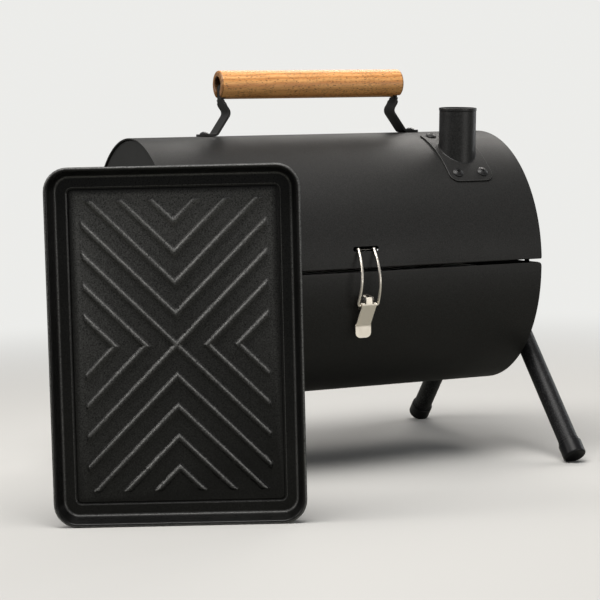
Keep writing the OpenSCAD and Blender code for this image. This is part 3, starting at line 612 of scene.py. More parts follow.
def hinge_leaf(side):
    """A leaf at X = 0. Side is 1 for the lid's leaf and -1 for the base's."""
    radius = lid_r if side > 0 else barrel_r
    middle_z = lid_z if side > 0 else base_z
    leaf = bmesh.new()
    leaf_turn = math.asin((leaf_start - half_gap + hinge_leaf_h / 2) / (radius + hinge_t))
    outline(leaf, hinge_w, hinge_leaf_h, leaf_corner_r)
    blank(leaf, hinge_t, edge=0.3 * mm)
    move(leaf, 0, 0, leaf_gap)
    score(leaf, 1, score_lines(hinge_leaf_h / 2, 3 * mm))
    roll(leaf, radius + hinge_t, middle_z, math.pi / 2 - side * leaf_turn)
    outer_w = hinge_w / 4
    strips = [(0, hinge_w - 2 * outer_w - 2 * knuckle_gap)]
    if side < 0:
        strips = [(k * (hinge_w - outer_w) / 2, outer_w) for k in (-1, 1)]
    curl_r = (hinge_pin_r + knuckle_r) / 2
    lead = [
        (radius + 0.8 * mm, leaf_start + strip_root), (radius + 0.75 * mm, leaf_start - 0.2 * mm)]
    curl = [(hinge_y - curl_r * math.sin(a), curl_r * math.cos(a)) for a in arc(58, -15, 23)]
    for middle, width in strips:
        strip = bmesh.new()
        path = [Vector((middle, y, axis_z + side * z)) for y, z in lead + curl]
        length = path_len(path)
        outline(strip, width, length, at=(0, length / 2))
        blank(strip, knuckle_t - 0.06 * mm, edge=0.2 * mm)
        move(strip, 0, 0, knuckle_t / 2)
        bend_along(strip, path, Vector((1, 0, 0)))
        join_copy(leaf, strip)
        strip.free()
    return leaf


def turn(profile, steps, ring=False):
    """Turns (radius, height) points round Z, as a lathe does. A ring's profile is closed."""
    made = bmesh.new()
    row = [made.verts.new((r, 0, h)) for r, h in profile]
    line = [made.edges.new(pair) for pair in zip(row, row[1:])]
    if ring:
        line.append(made.edges.new((row[-1], row[0])))
    bmesh.ops.spin(
        made, geom=row + line, cent=(0, 0, 0), axis=(0, 0, 1), angle=2 * math.pi,
        steps=steps, use_merge=True)
    bmesh.ops.remove_doubles(made, verts=made.verts[:], dist=1e-7)
    bmesh.ops.recalc_face_normals(made, faces=made.faces[:])
    return made


def dome_rows(radius, height, steps=6):
    """Profile rows of a shallow dome from its edge to its crown."""
    ball = (radius * radius + height * height) / (2 * height)
    spread = math.asin(min(1, radius / ball))
    if height > ball:
        spread = math.pi - spread
    return [
        (ball * math.sin(spread * (1 - k / steps)),
         height - ball + ball * math.cos(spread * (1 - k / steps)))
        for k in range(steps + 1)
    ]


def rivet(shank_r, grip):
    """A set rivet with its seat at the origin, a domed head above and a tail below."""
    rim = 0.25 * mm
    head = [(r, h + rim) for r, h in dome_rows(1.75 * shank_r, rivet_head_h - rim)]
    tail = [(r, -grip - h) for r, h in dome_rows(1.5 * shank_r, rivet_tail_h)]
    return turn(
        tail[::-1] + [(shank_r, -grip), (shank_r, 0), (1.7 * shank_r, 0)] + head, steps=24)


def headed_pin(radius, half_len, head_r, head_h):
    """A pin along X with its middle at the origin and a domed head at each end."""
    head = [(r, half_len + h) for r, h in dome_rows(head_r, head_h)]
    half_profile = [(radius, 0), (radius, half_len)] + head
    made = turn([(r, -h) for r, h in half_profile[:0:-1]] + half_profile, steps=24)
    put(made, along_x)
    return made


def fit_copies(name, item, places, body, finish, node, sharp=50):
    """Sets copies of one small part at their places and fits them as one piece."""
    made = bmesh.new()
    for place in places:
        join_copy(made, item, place)
    item.free()
    fit(name, made, body, finish, node, sharp=sharp)


def stretched(material, place, scale, **more):
    """A place whose scale differs with its direction, for textures with a long way."""
    return add_node(material, "ShaderNodeMapping", {
        "Vector": place, "Scale": scale, **more}).outputs["Vector"]


def on_barrel(x, turned, radius, middle_z):
    """A place on the barrel's round: Z points outwards there, and X stays along it."""
    return (
        Matrix.Translation((x, 0, middle_z)) @ Matrix.Rotation(turned, 4, "X")
        @ Matrix.Translation((0, 0, radius))
    )


along_x = Matrix.Rotation(math.pi / 2, 4, "Y")
black_steel, black_shader = new_finish(
    "black_oxide_steel", (0.012, 0.012, 0.013), 0.24, specular=0.6)
black_grain = noise(black_steel, object_place(black_steel), 900.0, 3.0)
dress(
    black_steel, black_shader, gloss=between(black_steel, black_grain, 0.16, 0.34),
    relief=black_grain, strength=0.2, depth=0.05 * mm)

bare_steel, bare_shader = new_finish("bare_steel", (0.46, 0.45, 0.44), 0.38, metallic=1.0)
bare_lines = noise(
    bare_steel, stretched(bare_steel, object_place(bare_steel), (90.0, 700.0, 700.0)), 1.0, 4.0)
dress(
    bare_steel, bare_shader, gloss=between(bare_steel, bare_lines, 0.26, 0.52),
    relief=bare_lines, strength=0.25, depth=0.04 * mm)

for side, where in ends:
    for part, body in ((1, "lid"), (-1, "base")):
        leaf = hinge_leaf(part)
        move(leaf, side * hinge_x, 0, 0)
        fit(f"hinge_{body}_leaf_rolled_{where}", leaf, body, powder_coat,
            f"hinge_{body}_leaf_{where}")
    pin = headed_pin(hinge_pin_r, hinge_w / 2, hinge_pin_head_r, hinge_pin_head_h)
    move(pin, side * hinge_x, hinge_y, axis_z)
    fit(f"hinge_pin_turned_{where}", pin, "base", bare_steel, f"hinge_pin_{where}")

for part, body, radius, middle_z in ((1, "lid", lid_r, lid_z), (-1, "base", barrel_r, base_z)):
    turned = -math.pi / 2 + part * math.asin(rivet_z / radius)
    places = [
        on_barrel(side * hinge_x + k * hinge_rivet_x, turned, radius + hinge_t, middle_z)
        for side, k in four
    ]
    fit_copies(
        f"hinge_{body}_rivets_set", rivet(hinge_rivet_r, hinge_t + sheet_t + 0.1 * mm), places,
        body, black_steel, f"hinge_{body}_rivets")


# Saddle plate. 1.5 mm sheet with round corners, curved to the lid and held by four
# screws. The chimney's bore goes through it.

saddle_in_r = lid_r + 0.1 * mm
saddle_t = 1.5 * mm
saddle_r = saddle_in_r + saddle_t
saddle_w = 47 * mm
saddle_half_turn = math.radians(19.8)
saddle_depth = 2 * saddle_r * math.asin(lid_r * math.sin(saddle_half_turn) / saddle_r)
saddle_corner_r = 9 * mm
saddle_screw_w = 27 * mm
saddle_screw_turn = math.radians(14.9)

saddle_bm = bmesh.new()
outline(saddle_bm, saddle_w, saddle_depth, saddle_corner_r, (chimney_x, -saddle_r * chimney_turn))
mark_bore(saddle_bm, saddle_r)
blank(saddle_bm, saddle_t, edge=0.4 * mm)
score(saddle_bm, 1, [
    -saddle_r * chimney_turn + s for s in score_lines(saddle_depth / 2, roll_step * saddle_r)])
roll(saddle_bm, saddle_r, lid_z)
fit("chimney_saddle_coated", saddle_bm, "lid", powder_coat, "chimney_plate")


# Chimney. A steel tube of 36 mm with a rolled bead at its rim, coated in a coarser and
# glossier powder. Its foot is trimmed to the saddle's curve and flares into a small
# welded collar.

chimney_r = 18 * mm
chimney_rise = 42.8 * mm
rim_h = 2.8 * mm
rim_out = 0.35 * mm
collar_rows = [(0.0, 0.6), (0.25, 0.5), (0.5, 0.25), (0.8, 0.0)]
marker = -50 * mm
chimney_coat = new_powder(
    "powder_coat_coarse", (0.0085, 0.0085, 0.0086), 0.42, 1.3 * mm, 0.34, contrast=1.7)

rim_low = chimney_rise - rim_h
rim = [
    (chimney_r, rim_low - 0.3 * mm), (chimney_r - 0.3 * mm, rim_low),
    (chimney_r + 0.2 * mm, rim_low + 0.1 * mm), (chimney_r + rim_out, rim_low + 0.4 * mm),
    (chimney_r + rim_out, chimney_rise - 0.6 * mm),
    (chimney_r + 0.15 * mm, chimney_rise - 0.1 * mm), (chimney_r - 0.2 * mm, chimney_rise),
    (chimney_bore_r + 0.3 * mm, chimney_rise), (chimney_bore_r, chimney_rise - 0.4 * mm),
]
foot_rows = [(chimney_r + out * mm, marker + h * mm) for h, out in collar_rows]
chimney_bm = turn([(chimney_bore_r, marker)] + foot_rows + rim, steps=72, ring=True)
for vert in chimney_bm.verts:
    height = vert.co.z
    flat = Vector((vert.co.x, vert.co.y, 0))
    vert.co = chimney_place @ vert.co
    if height < marker / 2:
        vert.co = drop(chimney_place @ flat, saddle_r) + (height - marker) * chimney_way
bmesh.ops.recalc_face_normals(chimney_bm, faces=chimney_bm.faces[:])
fit("chimney_tube_rolled", chimney_bm, "lid", chimney_coat, "chimney_tube",
    sharp=40)


# Saddle screws. Pan heads with a cross recess, coated like the chimney, stand on the
# plate. Their shanks go through the lid to nuts inside it.

screw_head_r = 5.3 * mm
screw_head_h = 2.5 * mm
screw_r = 2.5 * mm
screw_tail = 2 * mm
recess = (5.6 * mm, 1.15 * mm, 3 * mm)
recess_taper = (0.5, 0.7, 1)
first_twist = 0.35
twist_step = 0.8
nut_h = 4 * mm


def carve(bm, cutter):
    """Takes the cutter's space out of a solid, and uses the cutter up."""
    pair = []
    for shape in (bm, cutter):
        mesh = bpy.data.meshes.new("carving")
        shape.to_mesh(mesh)
        held = bpy.data.objects.new("carving", mesh)
        bpy.context.collection.objects.link(held)
        pair.append(held)
    cut = pair[0].modifiers.new("cut", "BOOLEAN")
    cut.operation = "DIFFERENCE"
    cut.solver = "EXACT"
    cut.use_self = True
    cut.object = pair[1]
    bpy.context.view_layer.update()
    made = pair[0].evaluated_get(bpy.context.evaluated_depsgraph_get())
    carved = bpy.data.meshes.new_from_object(made)
    bm.clear()
    bm.from_mesh(carved)
    cutter.free()
    for held in pair:
        mesh = held.data
        bpy.data.objects.remove(held)
        bpy.data.meshes.remove(mesh)
    bpy.data.meshes.remove(carved)


def block(size):
    """A block with its middle at the origin."""
    made = bmesh.new()
    bmesh.ops.create_cube(made, size=1)
    bmesh.ops.scale(made, vec=size, verts=made.verts[:])
    return made


def headed_shank(shank_r, shank_len, head_r, head_h, side_h, ease):
    """A turned screw with its seat at the origin: a domed head above and a shank below."""
    return turn([
        (0, -shank_len), (shank_r - 0.5 * mm, -shank_len), (shank_r, 0.6 * mm - shank_len),
        (shank_r, 0), (head_r - ease, 0), (head_r, ease),
        *[(r, h + side_h) for r, h in dome_rows(head_r, head_h - side_h, 8)]], steps=40)


def pan_screw(shank_len, head_r=screw_head_r):
    """A pan-head screw with a cross recess."""
    made = headed_shank(screw_r, shank_len, head_r, screw_head_h, 0.7 * mm, 0.2 * mm)
    cross = bmesh.new()
    for turned in (0, math.pi / 2):
        arm = block(recess)
        tip = [v for v in arm.verts if v.co.z < 0]
        bmesh.ops.scale(arm, vec=recess_taper, verts=tip)
        join_copy(cross, arm, Matrix.Translation((0, 0, screw_head_h - 0.1 * mm))
                  @ Matrix.Rotation(turned, 4, "Z"))
        arm.free()
    carve(made, cross)
    return made


fit_copies(
    "chimney_screws_driven", pan_screw(saddle_t + sheet_t + nut_h + screw_tail),
    [on_barrel(
        chimney_x + side * saddle_screw_w / 2, chimney_turn + way * saddle_screw_turn,
        saddle_r, lid_z) @ Matrix.Rotation(first_twist + twist_step * k, 4, "Z")
     for k, (side, way) in enumerate(four)],
    "lid", chimney_coat, "chimney_screws", sharp=35)


# Handle strap. One length of 20 x 2.2 mm flat steel, powder coated, runs through the grip
# as a narrow tongue, turns down at both ends, bulges inwards and ends in two round feet.

grip_d = 27.4 * mm
grip_len = 195 * mm
grip_x = 1.2 * mm
grip_bore_r = 7.9 * mm
grip_h = half_gap + lid_r + 49.25 * mm
strap_x = grip_len / 2 - 6 * mm
strap_w = 20 * mm
tongue_x = grip_len / 2 - 4 * mm
tongue_w = 11 * mm
strap_neck_w = 15 * mm
strap_neck_h = 3 * mm
foot_corner_r = 6 * mm
strap_t = 2.2 * mm
strap_edge = 0.45 * mm
strap_hole_r = 2.65 * mm
strap_foot_z = half_gap + lid_r + strap_t / 2
shoulder_z = grip_h - grip_d / 2 - 0.6 * mm
shoulder_drop = 6 * mm
bulge_share = 0.62
bulge_in = 4.6 * mm
bend_loss = 1.72 * mm
foot_start_x = strap_x + 10 * mm
foot_end_x = foot_start_x + 16 * mm
handle_screw_x = foot_end_x - 6.4 * mm

bulge_z = strap_foot_z + bulge_share * (shoulder_z - strap_foot_z)
strap_half = round_path(
    [Vector((x, 0, axis_z + z)) for x, z in (
        (0, grip_h), (tongue_x, grip_h), (tongue_x, shoulder_z),
        (strap_x, shoulder_z - shoulder_drop), (strap_x - bulge_in, bulge_z),
        (foot_start_x, strap_foot_z), (foot_end_x, strap_foot_z))],
    [4 * mm, 3 * mm, 4 * mm, 6 * mm, 4 * mm])
strap_path = [Vector((-p.x, 0, p.z)) for p in strap_half[:0:-1]] + strap_half
strap_len = path_len(strap_path)
tongue_len = 2 * (tongue_x + grip_h - shoulder_z - bend_loss)


def trace(bm, corners):
    """Marks any closed shape on the flat sheet. A corner is (x, y, its radius)."""
    points = []
    for before, corner, after in zip(corners[-1:] + corners, corners, corners[1:] + corners[:1]):
        near = [Vector((x, y, 0)) for x, y, radius in (before, corner, after)]
        points += round_path(near, [corner[2]])[1:-1] if corner[2] else [near[1]]
    row = [bm.verts.new(p) for p in points]
    for pair in zip(row, row[1:] + row[:1]):
        bm.edges.new(pair)


def trace_even(bm, right_side):
    """Marks a shape that is the same to the left and to the right. The right side is given."""
    trace(bm, right_side + [(-x, y, radius) for x, y, radius in right_side[::-1]])


strap_bm = bmesh.new()
wide = strap_w / 2
narrow = tongue_w / 2
neck = strap_neck_w / 2
neck_low = (strap_len - tongue_len) / 2
neck_high = (strap_len + tongue_len) / 2
trace_even(strap_bm, [
    (wide, 0, foot_corner_r), (wide, neck_low - strap_neck_h, 2 * mm),
    (neck, neck_low - strap_neck_h, 1 * mm), (neck, neck_low, 0.5 * mm),
    (narrow, neck_low, 0.5 * mm), (narrow, neck_high, 0.5 * mm), (neck, neck_high, 0.5 * mm),
    (neck, neck_high + strap_neck_h, 1 * mm), (wide, neck_high + strap_neck_h, 2 * mm),
    (wide, strap_len, foot_corner_r)])
for y in (foot_end_x - handle_screw_x, strap_len - foot_end_x + handle_screw_x):
    bmesh.ops.create_circle(
        strap_bm, segments=24, radius=strap_hole_r, matrix=Matrix.Translation((0, y, 0)))
blank(strap_bm, strap_t, edge=strap_edge)
move(strap_bm, 0, 0, strap_t / 2)
bend_along(strap_bm, strap_path, Vector((0, 1, 0)))
fit("handle_strap_bent", strap_bm, "lid", powder_coat, "handle_strap")


# Grip. Turned from one length of oiled beech, with a bore for the strap's tongue and
# eased ends. Pores run along it as short dark flecks, oil darkens its cut ends, and
# painted shade darkens its bore.

grip_round = 2 * mm
bore_round = 0.7 * mm
notch_len = 20 * mm
bore_shade = 0.85
end_char = 0.62
pore_size = 0.62
pore_dark = 0.42
fleck_size = 0.21
fleck_dark = 0.85


def new_beech():
    """Oiled beech: growth rings round a pith beside the bore, fibres, pores and flecks; painted
    shade in the bore.
    """
    material, shader = new_finish("oiled_beech", (0.60, 0.31, 0.125), 0.42, specular=0.5)
    place = object_place(material)
    centred = stretched(
        material, place, (1.0, 1.0, 1.0),
        Location=(0.0, 0.031, -0.352), Rotation=(0.0, 0.035, 0.02))
    rings = add_node(material, "ShaderNodeTexWave", {
        "Vector": centred, "Scale": 62.0, "Distortion": 2.6,
        "Detail": 3.0, "Detail Scale": 0.6, "Detail Roughness": 0.6},
        wave_type="RINGS", rings_direction="X", wave_profile="SIN").outputs["Fac"]
    fibre = noise(material, stretched(material, place, (26.0, 520.0, 520.0)), 1.0, 5.0, 0.65)
    pore_way = stretched(material, place, (260.0, 1150.0, 1150.0))
    fleck_way = stretched(material, place, (210.0, 640.0, 640.0), Location=(0.3, 0.1, 0.7))
    pores, flecks = [
        add_node(material, "ShaderNodeTexVoronoi", {
            "Vector": way, "Scale": 1.0, "Randomness": 1.0}).outputs["Distance"]
        for way in (pore_way, fleck_way)
    ]
    wood = blend(
        material, 1.0,
        tone(material, rings, (0.66, 0.285, 0.082), (0.87, 0.45, 0.16)),
        tone(material, fibre, (0.74, 0.68, 0.62), (1.10, 1.09, 1.06), 0.30, 0.68), "MULTIPLY")
    pore_edge = compute(material, "MULTIPLY", noise(material, place, 55.0, 2.0), pore_size)
    pore_dot = compute(material, "LESS_THAN", pores, pore_edge)
    fleck_dot = compute(material, "LESS_THAN", flecks, fleck_size)
    dark = compute(
        material, "MAXIMUM", compute(material, "MULTIPLY", pore_dot, pore_dark),
        compute(material, "MULTIPLY", fleck_dot, fleck_dark))
    tinted = blend(material, dark, wood, (0.11, 0.045, 0.018, 1))
    # Faces marked on the mesh darken: oil on the cut ends, and painted shade in the bore.
    oiled_and_shaded = blend(material, painted(material, "cut"), tinted, (0.035, 0.014, 0.008, 1))
    relief = compute(material, "SUBTRACT", fibre, dark)
    gloss = between(material, fibre, 0.34, 0.52)
    dress(material, shader, oiled_and_shaded, gloss, relief, strength=0.3, depth=0.12 * mm)
    return material


oiled_beech = new_beech()
grip_r = grip_d / 2
grip_half = grip_len / 2
eased = [
    (grip_r - grip_round * (1 - math.sin(a)), grip_half - grip_round * (1 - math.cos(a)))
    for a in arc(90, -15, 7)
]
half_grip = eased + [(grip_bore_r + bore_round, grip_half), (grip_bore_r, grip_half - bore_round)]
grip_bm = turn(half_grip + [(r, -h) for r, h in half_grip[::-1]], steps=96, ring=True)
put(grip_bm, Matrix.Translation((grip_x, 0, axis_z + grip_h)) @ along_x)
notch_h = grip_r + 2 * mm
notch_x = tongue_x - 1.5 * strap_t + notch_len / 2
for side in (-1, 1):
    notch = block((notch_len, tongue_w + 1 * mm, notch_h))
    move(notch, side * notch_x, 0, axis_z + grip_h - notch_h / 2)
    carve(grip_bm, notch)
end_oil_and_bore_shade = grip_bm.faces.layers.float.new("cut")
grip_bm.normal_update()
for face in grip_bm.faces:
    middle = face.calc_center_median()
    reach = math.hypot(middle.y, middle.z - axis_z - grip_h)
    # The bore's faces get painted shade; the cut ends get the oil's darkening.
    if reach < grip_bore_r + 0.4 * mm:
        face[end_oil_and_bore_shade] = bore_shade
    elif abs(face.normal.x) > 0.6 or reach < grip_r - 0.1 * mm:
        face[end_oil_and_bore_shade] = end_char
fit("handle_grip_turned", grip_bm, "lid", oiled_beech, "handle_grip", sharp=40)


# Handle screws. One of blackened steel, with a smaller head than the saddle's, goes
# through each foot of the strap to a nut inside the lid.

handle_screw_head_r = 4.3 * mm
handle_screw_twist = 0.4
fit_copies(
    "handle_screws_driven",
    pan_screw(strap_t + sheet_t + nut_h + screw_tail, handle_screw_head_r),
    [Matrix.Translation((side * handle_screw_x, 0, lid_z + lid_r + strap_t))
     @ Matrix.Rotation(handle_screw_twist * side, 4, "Z") for side in (-1, 1)],
    "lid", black_steel, "handle_screws", sharp=35)


# Latch bracket. Nickel-plated 1.2 mm sheet, riveted to the base, with two ears that
# carry the lever's pin between them. It sits behind the lever, darkened with painted shade.

latch_x = -3.1 * mm
latch_turn = math.radians(100.9)
latch_pin_h = 10 * mm
latch_pin_r = 1.2 * mm
latch_t = 1.2 * mm
bracket_w = 10.4 * mm
bracket_h = 14.6 * mm
bracket_drop = 4.8 * mm
bracket_shade = 0.9
latch_rivet_r = 1.6 * mm
ear_x = 3.4 * mm
ear_r = 2.9 * mm
ear_low = 6.5 * mm
ear_high = 2.1 * mm
bracket_place = on_barrel(latch_x, latch_turn, barrel_r, base_z)


def new_nickel(name, colour, metallic, low_gloss, high_gloss, brush):
    """Nickel plating with fine brush marks and faint smudges, darkened where painted shade is
    marked.
    """
    material, shader = new_finish(name, colour, 0.5, metallic=metallic)
    place = object_place(material)
    lines = noise(material, stretched(material, place, (1500.0, 1500.0, 120.0)), 1.0, 3.0)
    both = compute(material, "ADD", lines, noise(material, place, 140.0, 3.0))
    gloss = between(material, both, low_gloss, high_gloss, 0.6, 1.4)
    # The blend towards near black is painted shade, where the mesh is marked for it.
    skin = blend(material, painted(material, "painted_shade"), (*colour, 1), (0.03, 0.029, 0.027, 1))
    dress(material, shader, skin, gloss, lines, strength=brush, depth=0.03 * mm)
    return material


nickel = new_nickel("nickel_plating", (0.97, 0.90, 0.79), 0.62, 0.42, 0.58, 0.12)
bright_nickel = new_nickel("nickel_wire", (0.90, 0.84, 0.75), 0.9, 0.26, 0.38, 0.02)
bracket_bm = bmesh.new()
outline(bracket_bm, bracket_w, bracket_h, 1.5 * mm, (0, -bracket_drop))
blank(bracket_bm, latch_t, edge=0.3 * mm)
move(bracket_bm, 0, 0, latch_t)
for side in (-1, 1):
    ear = bmesh.new()
    trace(ear, [
        (-ear_low, latch_t / 2, 0), (ear_high, latch_t / 2, 0), (ear_r, latch_pin_h, 0),
        (ear_r, latch_pin_h + ear_r, 0.99 * ear_r), (-ear_r, latch_pin_h + ear_r, 0.99 * ear_r),
        (-ear_r, latch_pin_h, 0)])
    bmesh.ops.create_circle(
        ear, segments=24, radius=latch_pin_r + 0.05 * mm,
        matrix=Matrix.Translation((0, latch_pin_h, 0)))
    blank(ear, latch_t, edge=0.25 * mm)
    stand = Matrix(((0, 0, 1, 0), (1, 0, 0, 0), (0, 1, 0, 0), (0, 0, 0, 1)))
    join_copy(bracket_bm, ear, Matrix.Translation(
        (side * (ear_x + latch_t / 2) + latch_t / 2, 0, 0)) @ stand)
    ear.free()
put(bracket_bm, bracket_place)
# The whole bracket is darkened with painted shade, for the shadow it sits in behind the lever.
painted_shade = bracket_bm.faces.layers.float.new("painted_shade")
for face in bracket_bm.faces:
    face[painted_shade] = bracket_shade
fit("latch_bracket_folded", bracket_bm, "base", nickel, "latch_bracket")

bracket_rivet_y = bracket_h / 2 - 3.6 * mm
fit_copies(
    "latch_rivets_set", rivet(latch_rivet_r, latch_t + sheet_t + 0.6 * mm),
    [bracket_place @ Matrix.Translation((0, side * bracket_rivet_y - bracket_drop, latch_t))
     for side in (-1, 1)],
    "base", nickel, "latch_rivets")

latch_pin_place = bracket_place @ Vector((0, 0, latch_pin_h))
latch_pin = headed_pin(latch_pin_r, ear_x + latch_t + 0.1 * mm, 1.9 * mm, 0.5 * mm)
move(latch_pin, *latch_pin_place)
fit("latch_pin_headed", latch_pin, "base", bare_steel, "latch_pin")


# Latch lever. Nickel-plated sheet whose neck is rolled round the pin between the ears.
# Its body slopes in towards the barrel to a hanging finger lip, and two tabs rolled from
# it hold the bail's ends.

lever_w = 14.6 * mm
lip_w = 15.8 * mm
lip_len = 11.6 * mm
lever_neck_w = 6 * mm
tab_in = 5.2 * mm
tab_t = 0.95 * mm
slot_side = 5 * mm
lever_t = 1.05 * mm
lever_edge = 0.42 * mm
lever_fall = 5.2 * mm
lever_drop = 25 * mm
lever_run = 12.6 * mm
bail_end = Vector((0, 0.7, -5)) * mm
neck_roll_r = 1.75 * mm
tab_roll_r = 1.72 * mm
neck_slot = 4.7 * mm
tab_start = 3.4 * mm
lip_lead = 0.4 * mm
lever_front = -1.72 * mm

neck_roll = [
    Vector((0, neck_roll_r * math.cos(a), neck_roll_r * math.sin(a)))
    for a in arc(-80, 20, 13)
]
lever_path = neck_roll + round_path(
    [Vector((0, y, z)) for y, z in (
        (lever_front, 0), (lever_front, -lever_fall), (lever_run, -lever_drop),
        (lever_run, -lever_drop - lip_len))],
    [3 * mm, 4 * mm])


def length_to(path, level):
    """How far along a falling path its height comes down to a level."""
    length = 0.0
    for before, after in zip(path, path[1:]):
        if after.z < level <= before.z and after.y < 0.9 * lever_run + before.y:
            return length + (after - before).length * (before.z - level) / (before.z - after.z)
        length += (after - before).length
    return length


roll_len = path_len(neck_roll)
slot_end = roll_len + neck_slot
tab_top = roll_len + tab_start
lip_start = length_to(lever_path[len(neck_roll):], -lever_drop + lip_lead) + roll_len
lever_len = path_len(lever_path)
lever_bm = bmesh.new()
trace_even(lever_bm, [
    (lever_neck_w / 2, 0, 0), (lever_neck_w / 2, slot_end, 0.95 * mm),
    (slot_side, slot_end, 0.95 * mm), (slot_side, tab_top, 0.3 * mm),
    (lever_w / 2, tab_top, 0.8 * mm), (lever_w / 2, lip_start, 0),
    (lip_w / 2, lip_start, 0.4 * mm), (lip_w / 2, lever_len, 5 * mm)])
blank(lever_bm, lever_t, edge=lever_edge)
move(lever_bm, 0, 0, lever_t / 2)
bend_along(lever_bm, lever_path, Vector((-1, 0, 0)))
tab_roll = [
    bail_end + Vector((0, -tab_roll_r * math.cos(a), tab_roll_r * math.sin(a)))
    for a in arc(-60, 20, 16)
]
tab_len = path_len(tab_roll)
for side in (-1, 1):
    tab = bmesh.new()
    outline(tab, lever_w / 2 - tab_in, tab_len, at=(0, tab_len / 2))
    blank(tab, tab_t, edge=0.25 * mm)
    move(tab, 0, 0, tab_t / 2)
    middle = Vector((side * (tab_in + lever_w / 2) / 2, 0, 0))
    bend_along(tab, [p + middle for p in tab_roll], Vector((1, 0, 0)))
    join_copy(lever_bm, tab)
    tab.free()
move(lever_bm, *latch_pin_place)
fit("latch_lever_bent", lever_bm, "latch_lever", nickel, "latch_lever")


# Latch bail. One nickel-plated wire of 2.4 mm from the lever's left tab, through the
# lid's slot and back, bowed outwards so that it springs. Painted shade darkens its crossbar.

bail_r = 1.2 * mm
bail_foot_x = 10.3 * mm
bail_top_x = 8 * mm
bail_bow = 8.2 * mm
bail_low_bend = 1.5 * mm
bail_high_bend = 1.4 * mm
bail_shade = 0.95
hook_shift = 2.5 * mm
hook_in = 1.2 * mm
hook_up = 0.25 * mm
crest_out = 0.6 * mm
crest_up = 0.9 * mm
slot_level = slot_z - half_gap
lid_at_slot = math.sqrt(lid_r ** 2 - slot_level ** 2)
bail_start = latch_pin_place + bail_end - Vector((0, 0, axis_z))
hook_y = -math.sqrt((lid_r - sheet_t) ** 2 - slot_level ** 2) + bail_r + hook_in
hook_z = slot_z - slot_h / 2 + bail_r + hook_up
crest_y = -lid_at_slot - bail_r - crest_out
crest_z = hook_z + crest_up


def join_rows(bm, rows):
    """Joins closed rows of points with faces, each to the next."""
    for low, high in zip(rows, rows[1:]):
        for k in range(len(low)):
            after = (k + 1) % len(low)
            bm.faces.new((low[k], low[after], high[after], high[k]))


def wire(bm, points, radius, around=12, closed=False):
    """Draws a round wire along a path, without twist, with flat or joined ends."""
    count = len(points)
    ways = []
    for k in range(count):
        before = points[k - 1] if k or closed else points[0]
        after = points[(k + 1) % count] if k < count - 1 or closed else points[-1]
        ways.append((after - before).normalized())
    side = ways[0].orthogonal().normalized()
    rings = []
    for point, way in zip(points, ways):
        side = (side - way * side.dot(way)).normalized()
        across = way.cross(side)
        rings.append([
            bm.verts.new(point + radius * (side * math.cos(a) + across * math.sin(a)))
            for a in [2 * math.pi * k / around for k in range(around)]])
    join_rows(bm, rings + rings[:1] if closed else rings)
    if not closed:
        bm.faces.new(rings[0][::-1])
        bm.faces.new(rings[-1])


bail_legs = []
for k in range(3, 21):
    part = k / 20
    bail_legs.append(Vector((
        bail_foot_x + part * (bail_top_x - bail_foot_x),
        bail_start.y + part * (crest_y - bail_start.y) - bail_bow * (1 - (2 * part - 1) ** 2),
        bail_start.z + bail_low_bend
        + part * (crest_z - bail_start.z - bail_low_bend - bail_high_bend))))
foot = round_path(
    [Vector((x, bail_start.y, bail_start.z)) for x in (tab_in, bail_foot_x)] + bail_legs[:1],
    [1.7 * mm])
hook = round_path(
    [bail_legs[-1], Vector((bail_top_x, crest_y + 0.6 * mm, crest_z + 0.3 * mm)),
     Vector((bail_top_x, hook_y, hook_z)), Vector((0, hook_y, hook_z))], [1.2 * mm, 1.3 * mm])
bail_half = foot + bail_legs[1:-1] + hook
bail_path = bail_half[:-1] + [Vector((-p.x, p.y, p.z)) for p in bail_half[::-1]]
for point in bail_path:
    rise = max(0, point.z - bail_start.z - bail_low_bend)
    point.x += hook_shift * rise / (crest_z - bail_start.z - bail_low_bend) + latch_x
    point.z += axis_z
bail_bm = bmesh.new()
wire(bail_bm, bail_path, bail_r, around=16)
# The crossbar inside the lid's slot is darkened with painted shade.
crossbar_shade = bail_bm.faces.layers.float.new("painted_shade")
for face in bail_bm.faces:
    if face.calc_center_median().y > hook_y - 1.5 * bail_r:
        face[crossbar_shade] = bail_shade
fit("latch_bail_bent", bail_bm, "latch_bail", bright_nickel, "latch_bail",
    sharp=60)


# Legs. Four steel tubes of 19.4 mm in speckled black enamel, each on a bolt beside the
# barrel's end, with a plastic cap on its foot. They fold up along the end plates.

leg_r = 9.7 * mm
leg_wall = 1.2 * mm
leg_angle = math.radians(41)
pivot_r = 74 * mm
leg_over = 13 * mm
cap_r = 11.3 * mm
cap_len = 18 * mm
cap_sole = 4.5 * mm
cap_round = 3 * mm
foot_flat = 0.5 * mm
bolt_hole_r = 3.05 * mm
bolt_hole_len = 60 * mm
leg_x = barrel_len / 2 + cap_r + 0.4 * mm
leg_end = cap_round + (
    axis_z + foot_flat - cap_round - (cap_r - cap_round) * math.sin(leg_angle)
) / math.cos(leg_angle)


def new_enamel():
    """Stoved enamel on the leg tubes: black and semi-gloss, with fine pale speckles."""
    material, shader = new_finish("speckled_enamel", (0.009, 0.009, 0.010), 0.36, specular=0.22)
    grain = noise(material, object_place(material), 700.0, 4.0, 0.7)
    speck = tone(material, grain, (0.005, 0.005, 0.006), (0.05, 0.05, 0.052), 0.50, 0.66)
    gloss = between(material, grain, 0.28, 0.56)
    dress(material, shader, speck, gloss, grain, strength=0.4, depth=0.12 * mm)
    return material


def new_cap_plastic():
    """Moulded plastic of the foot caps: dark, fine-grained and a little glossy."""
    material, shader = new_finish("cap_plastic", (0.006, 0.006, 0.007), 0.36, specular=0.22)
    grain = noise(material, object_place(material), 1500.0, 2.0)
    dress(material, shader, relief=grain, strength=0.15, depth=0.05 * mm)
    return material


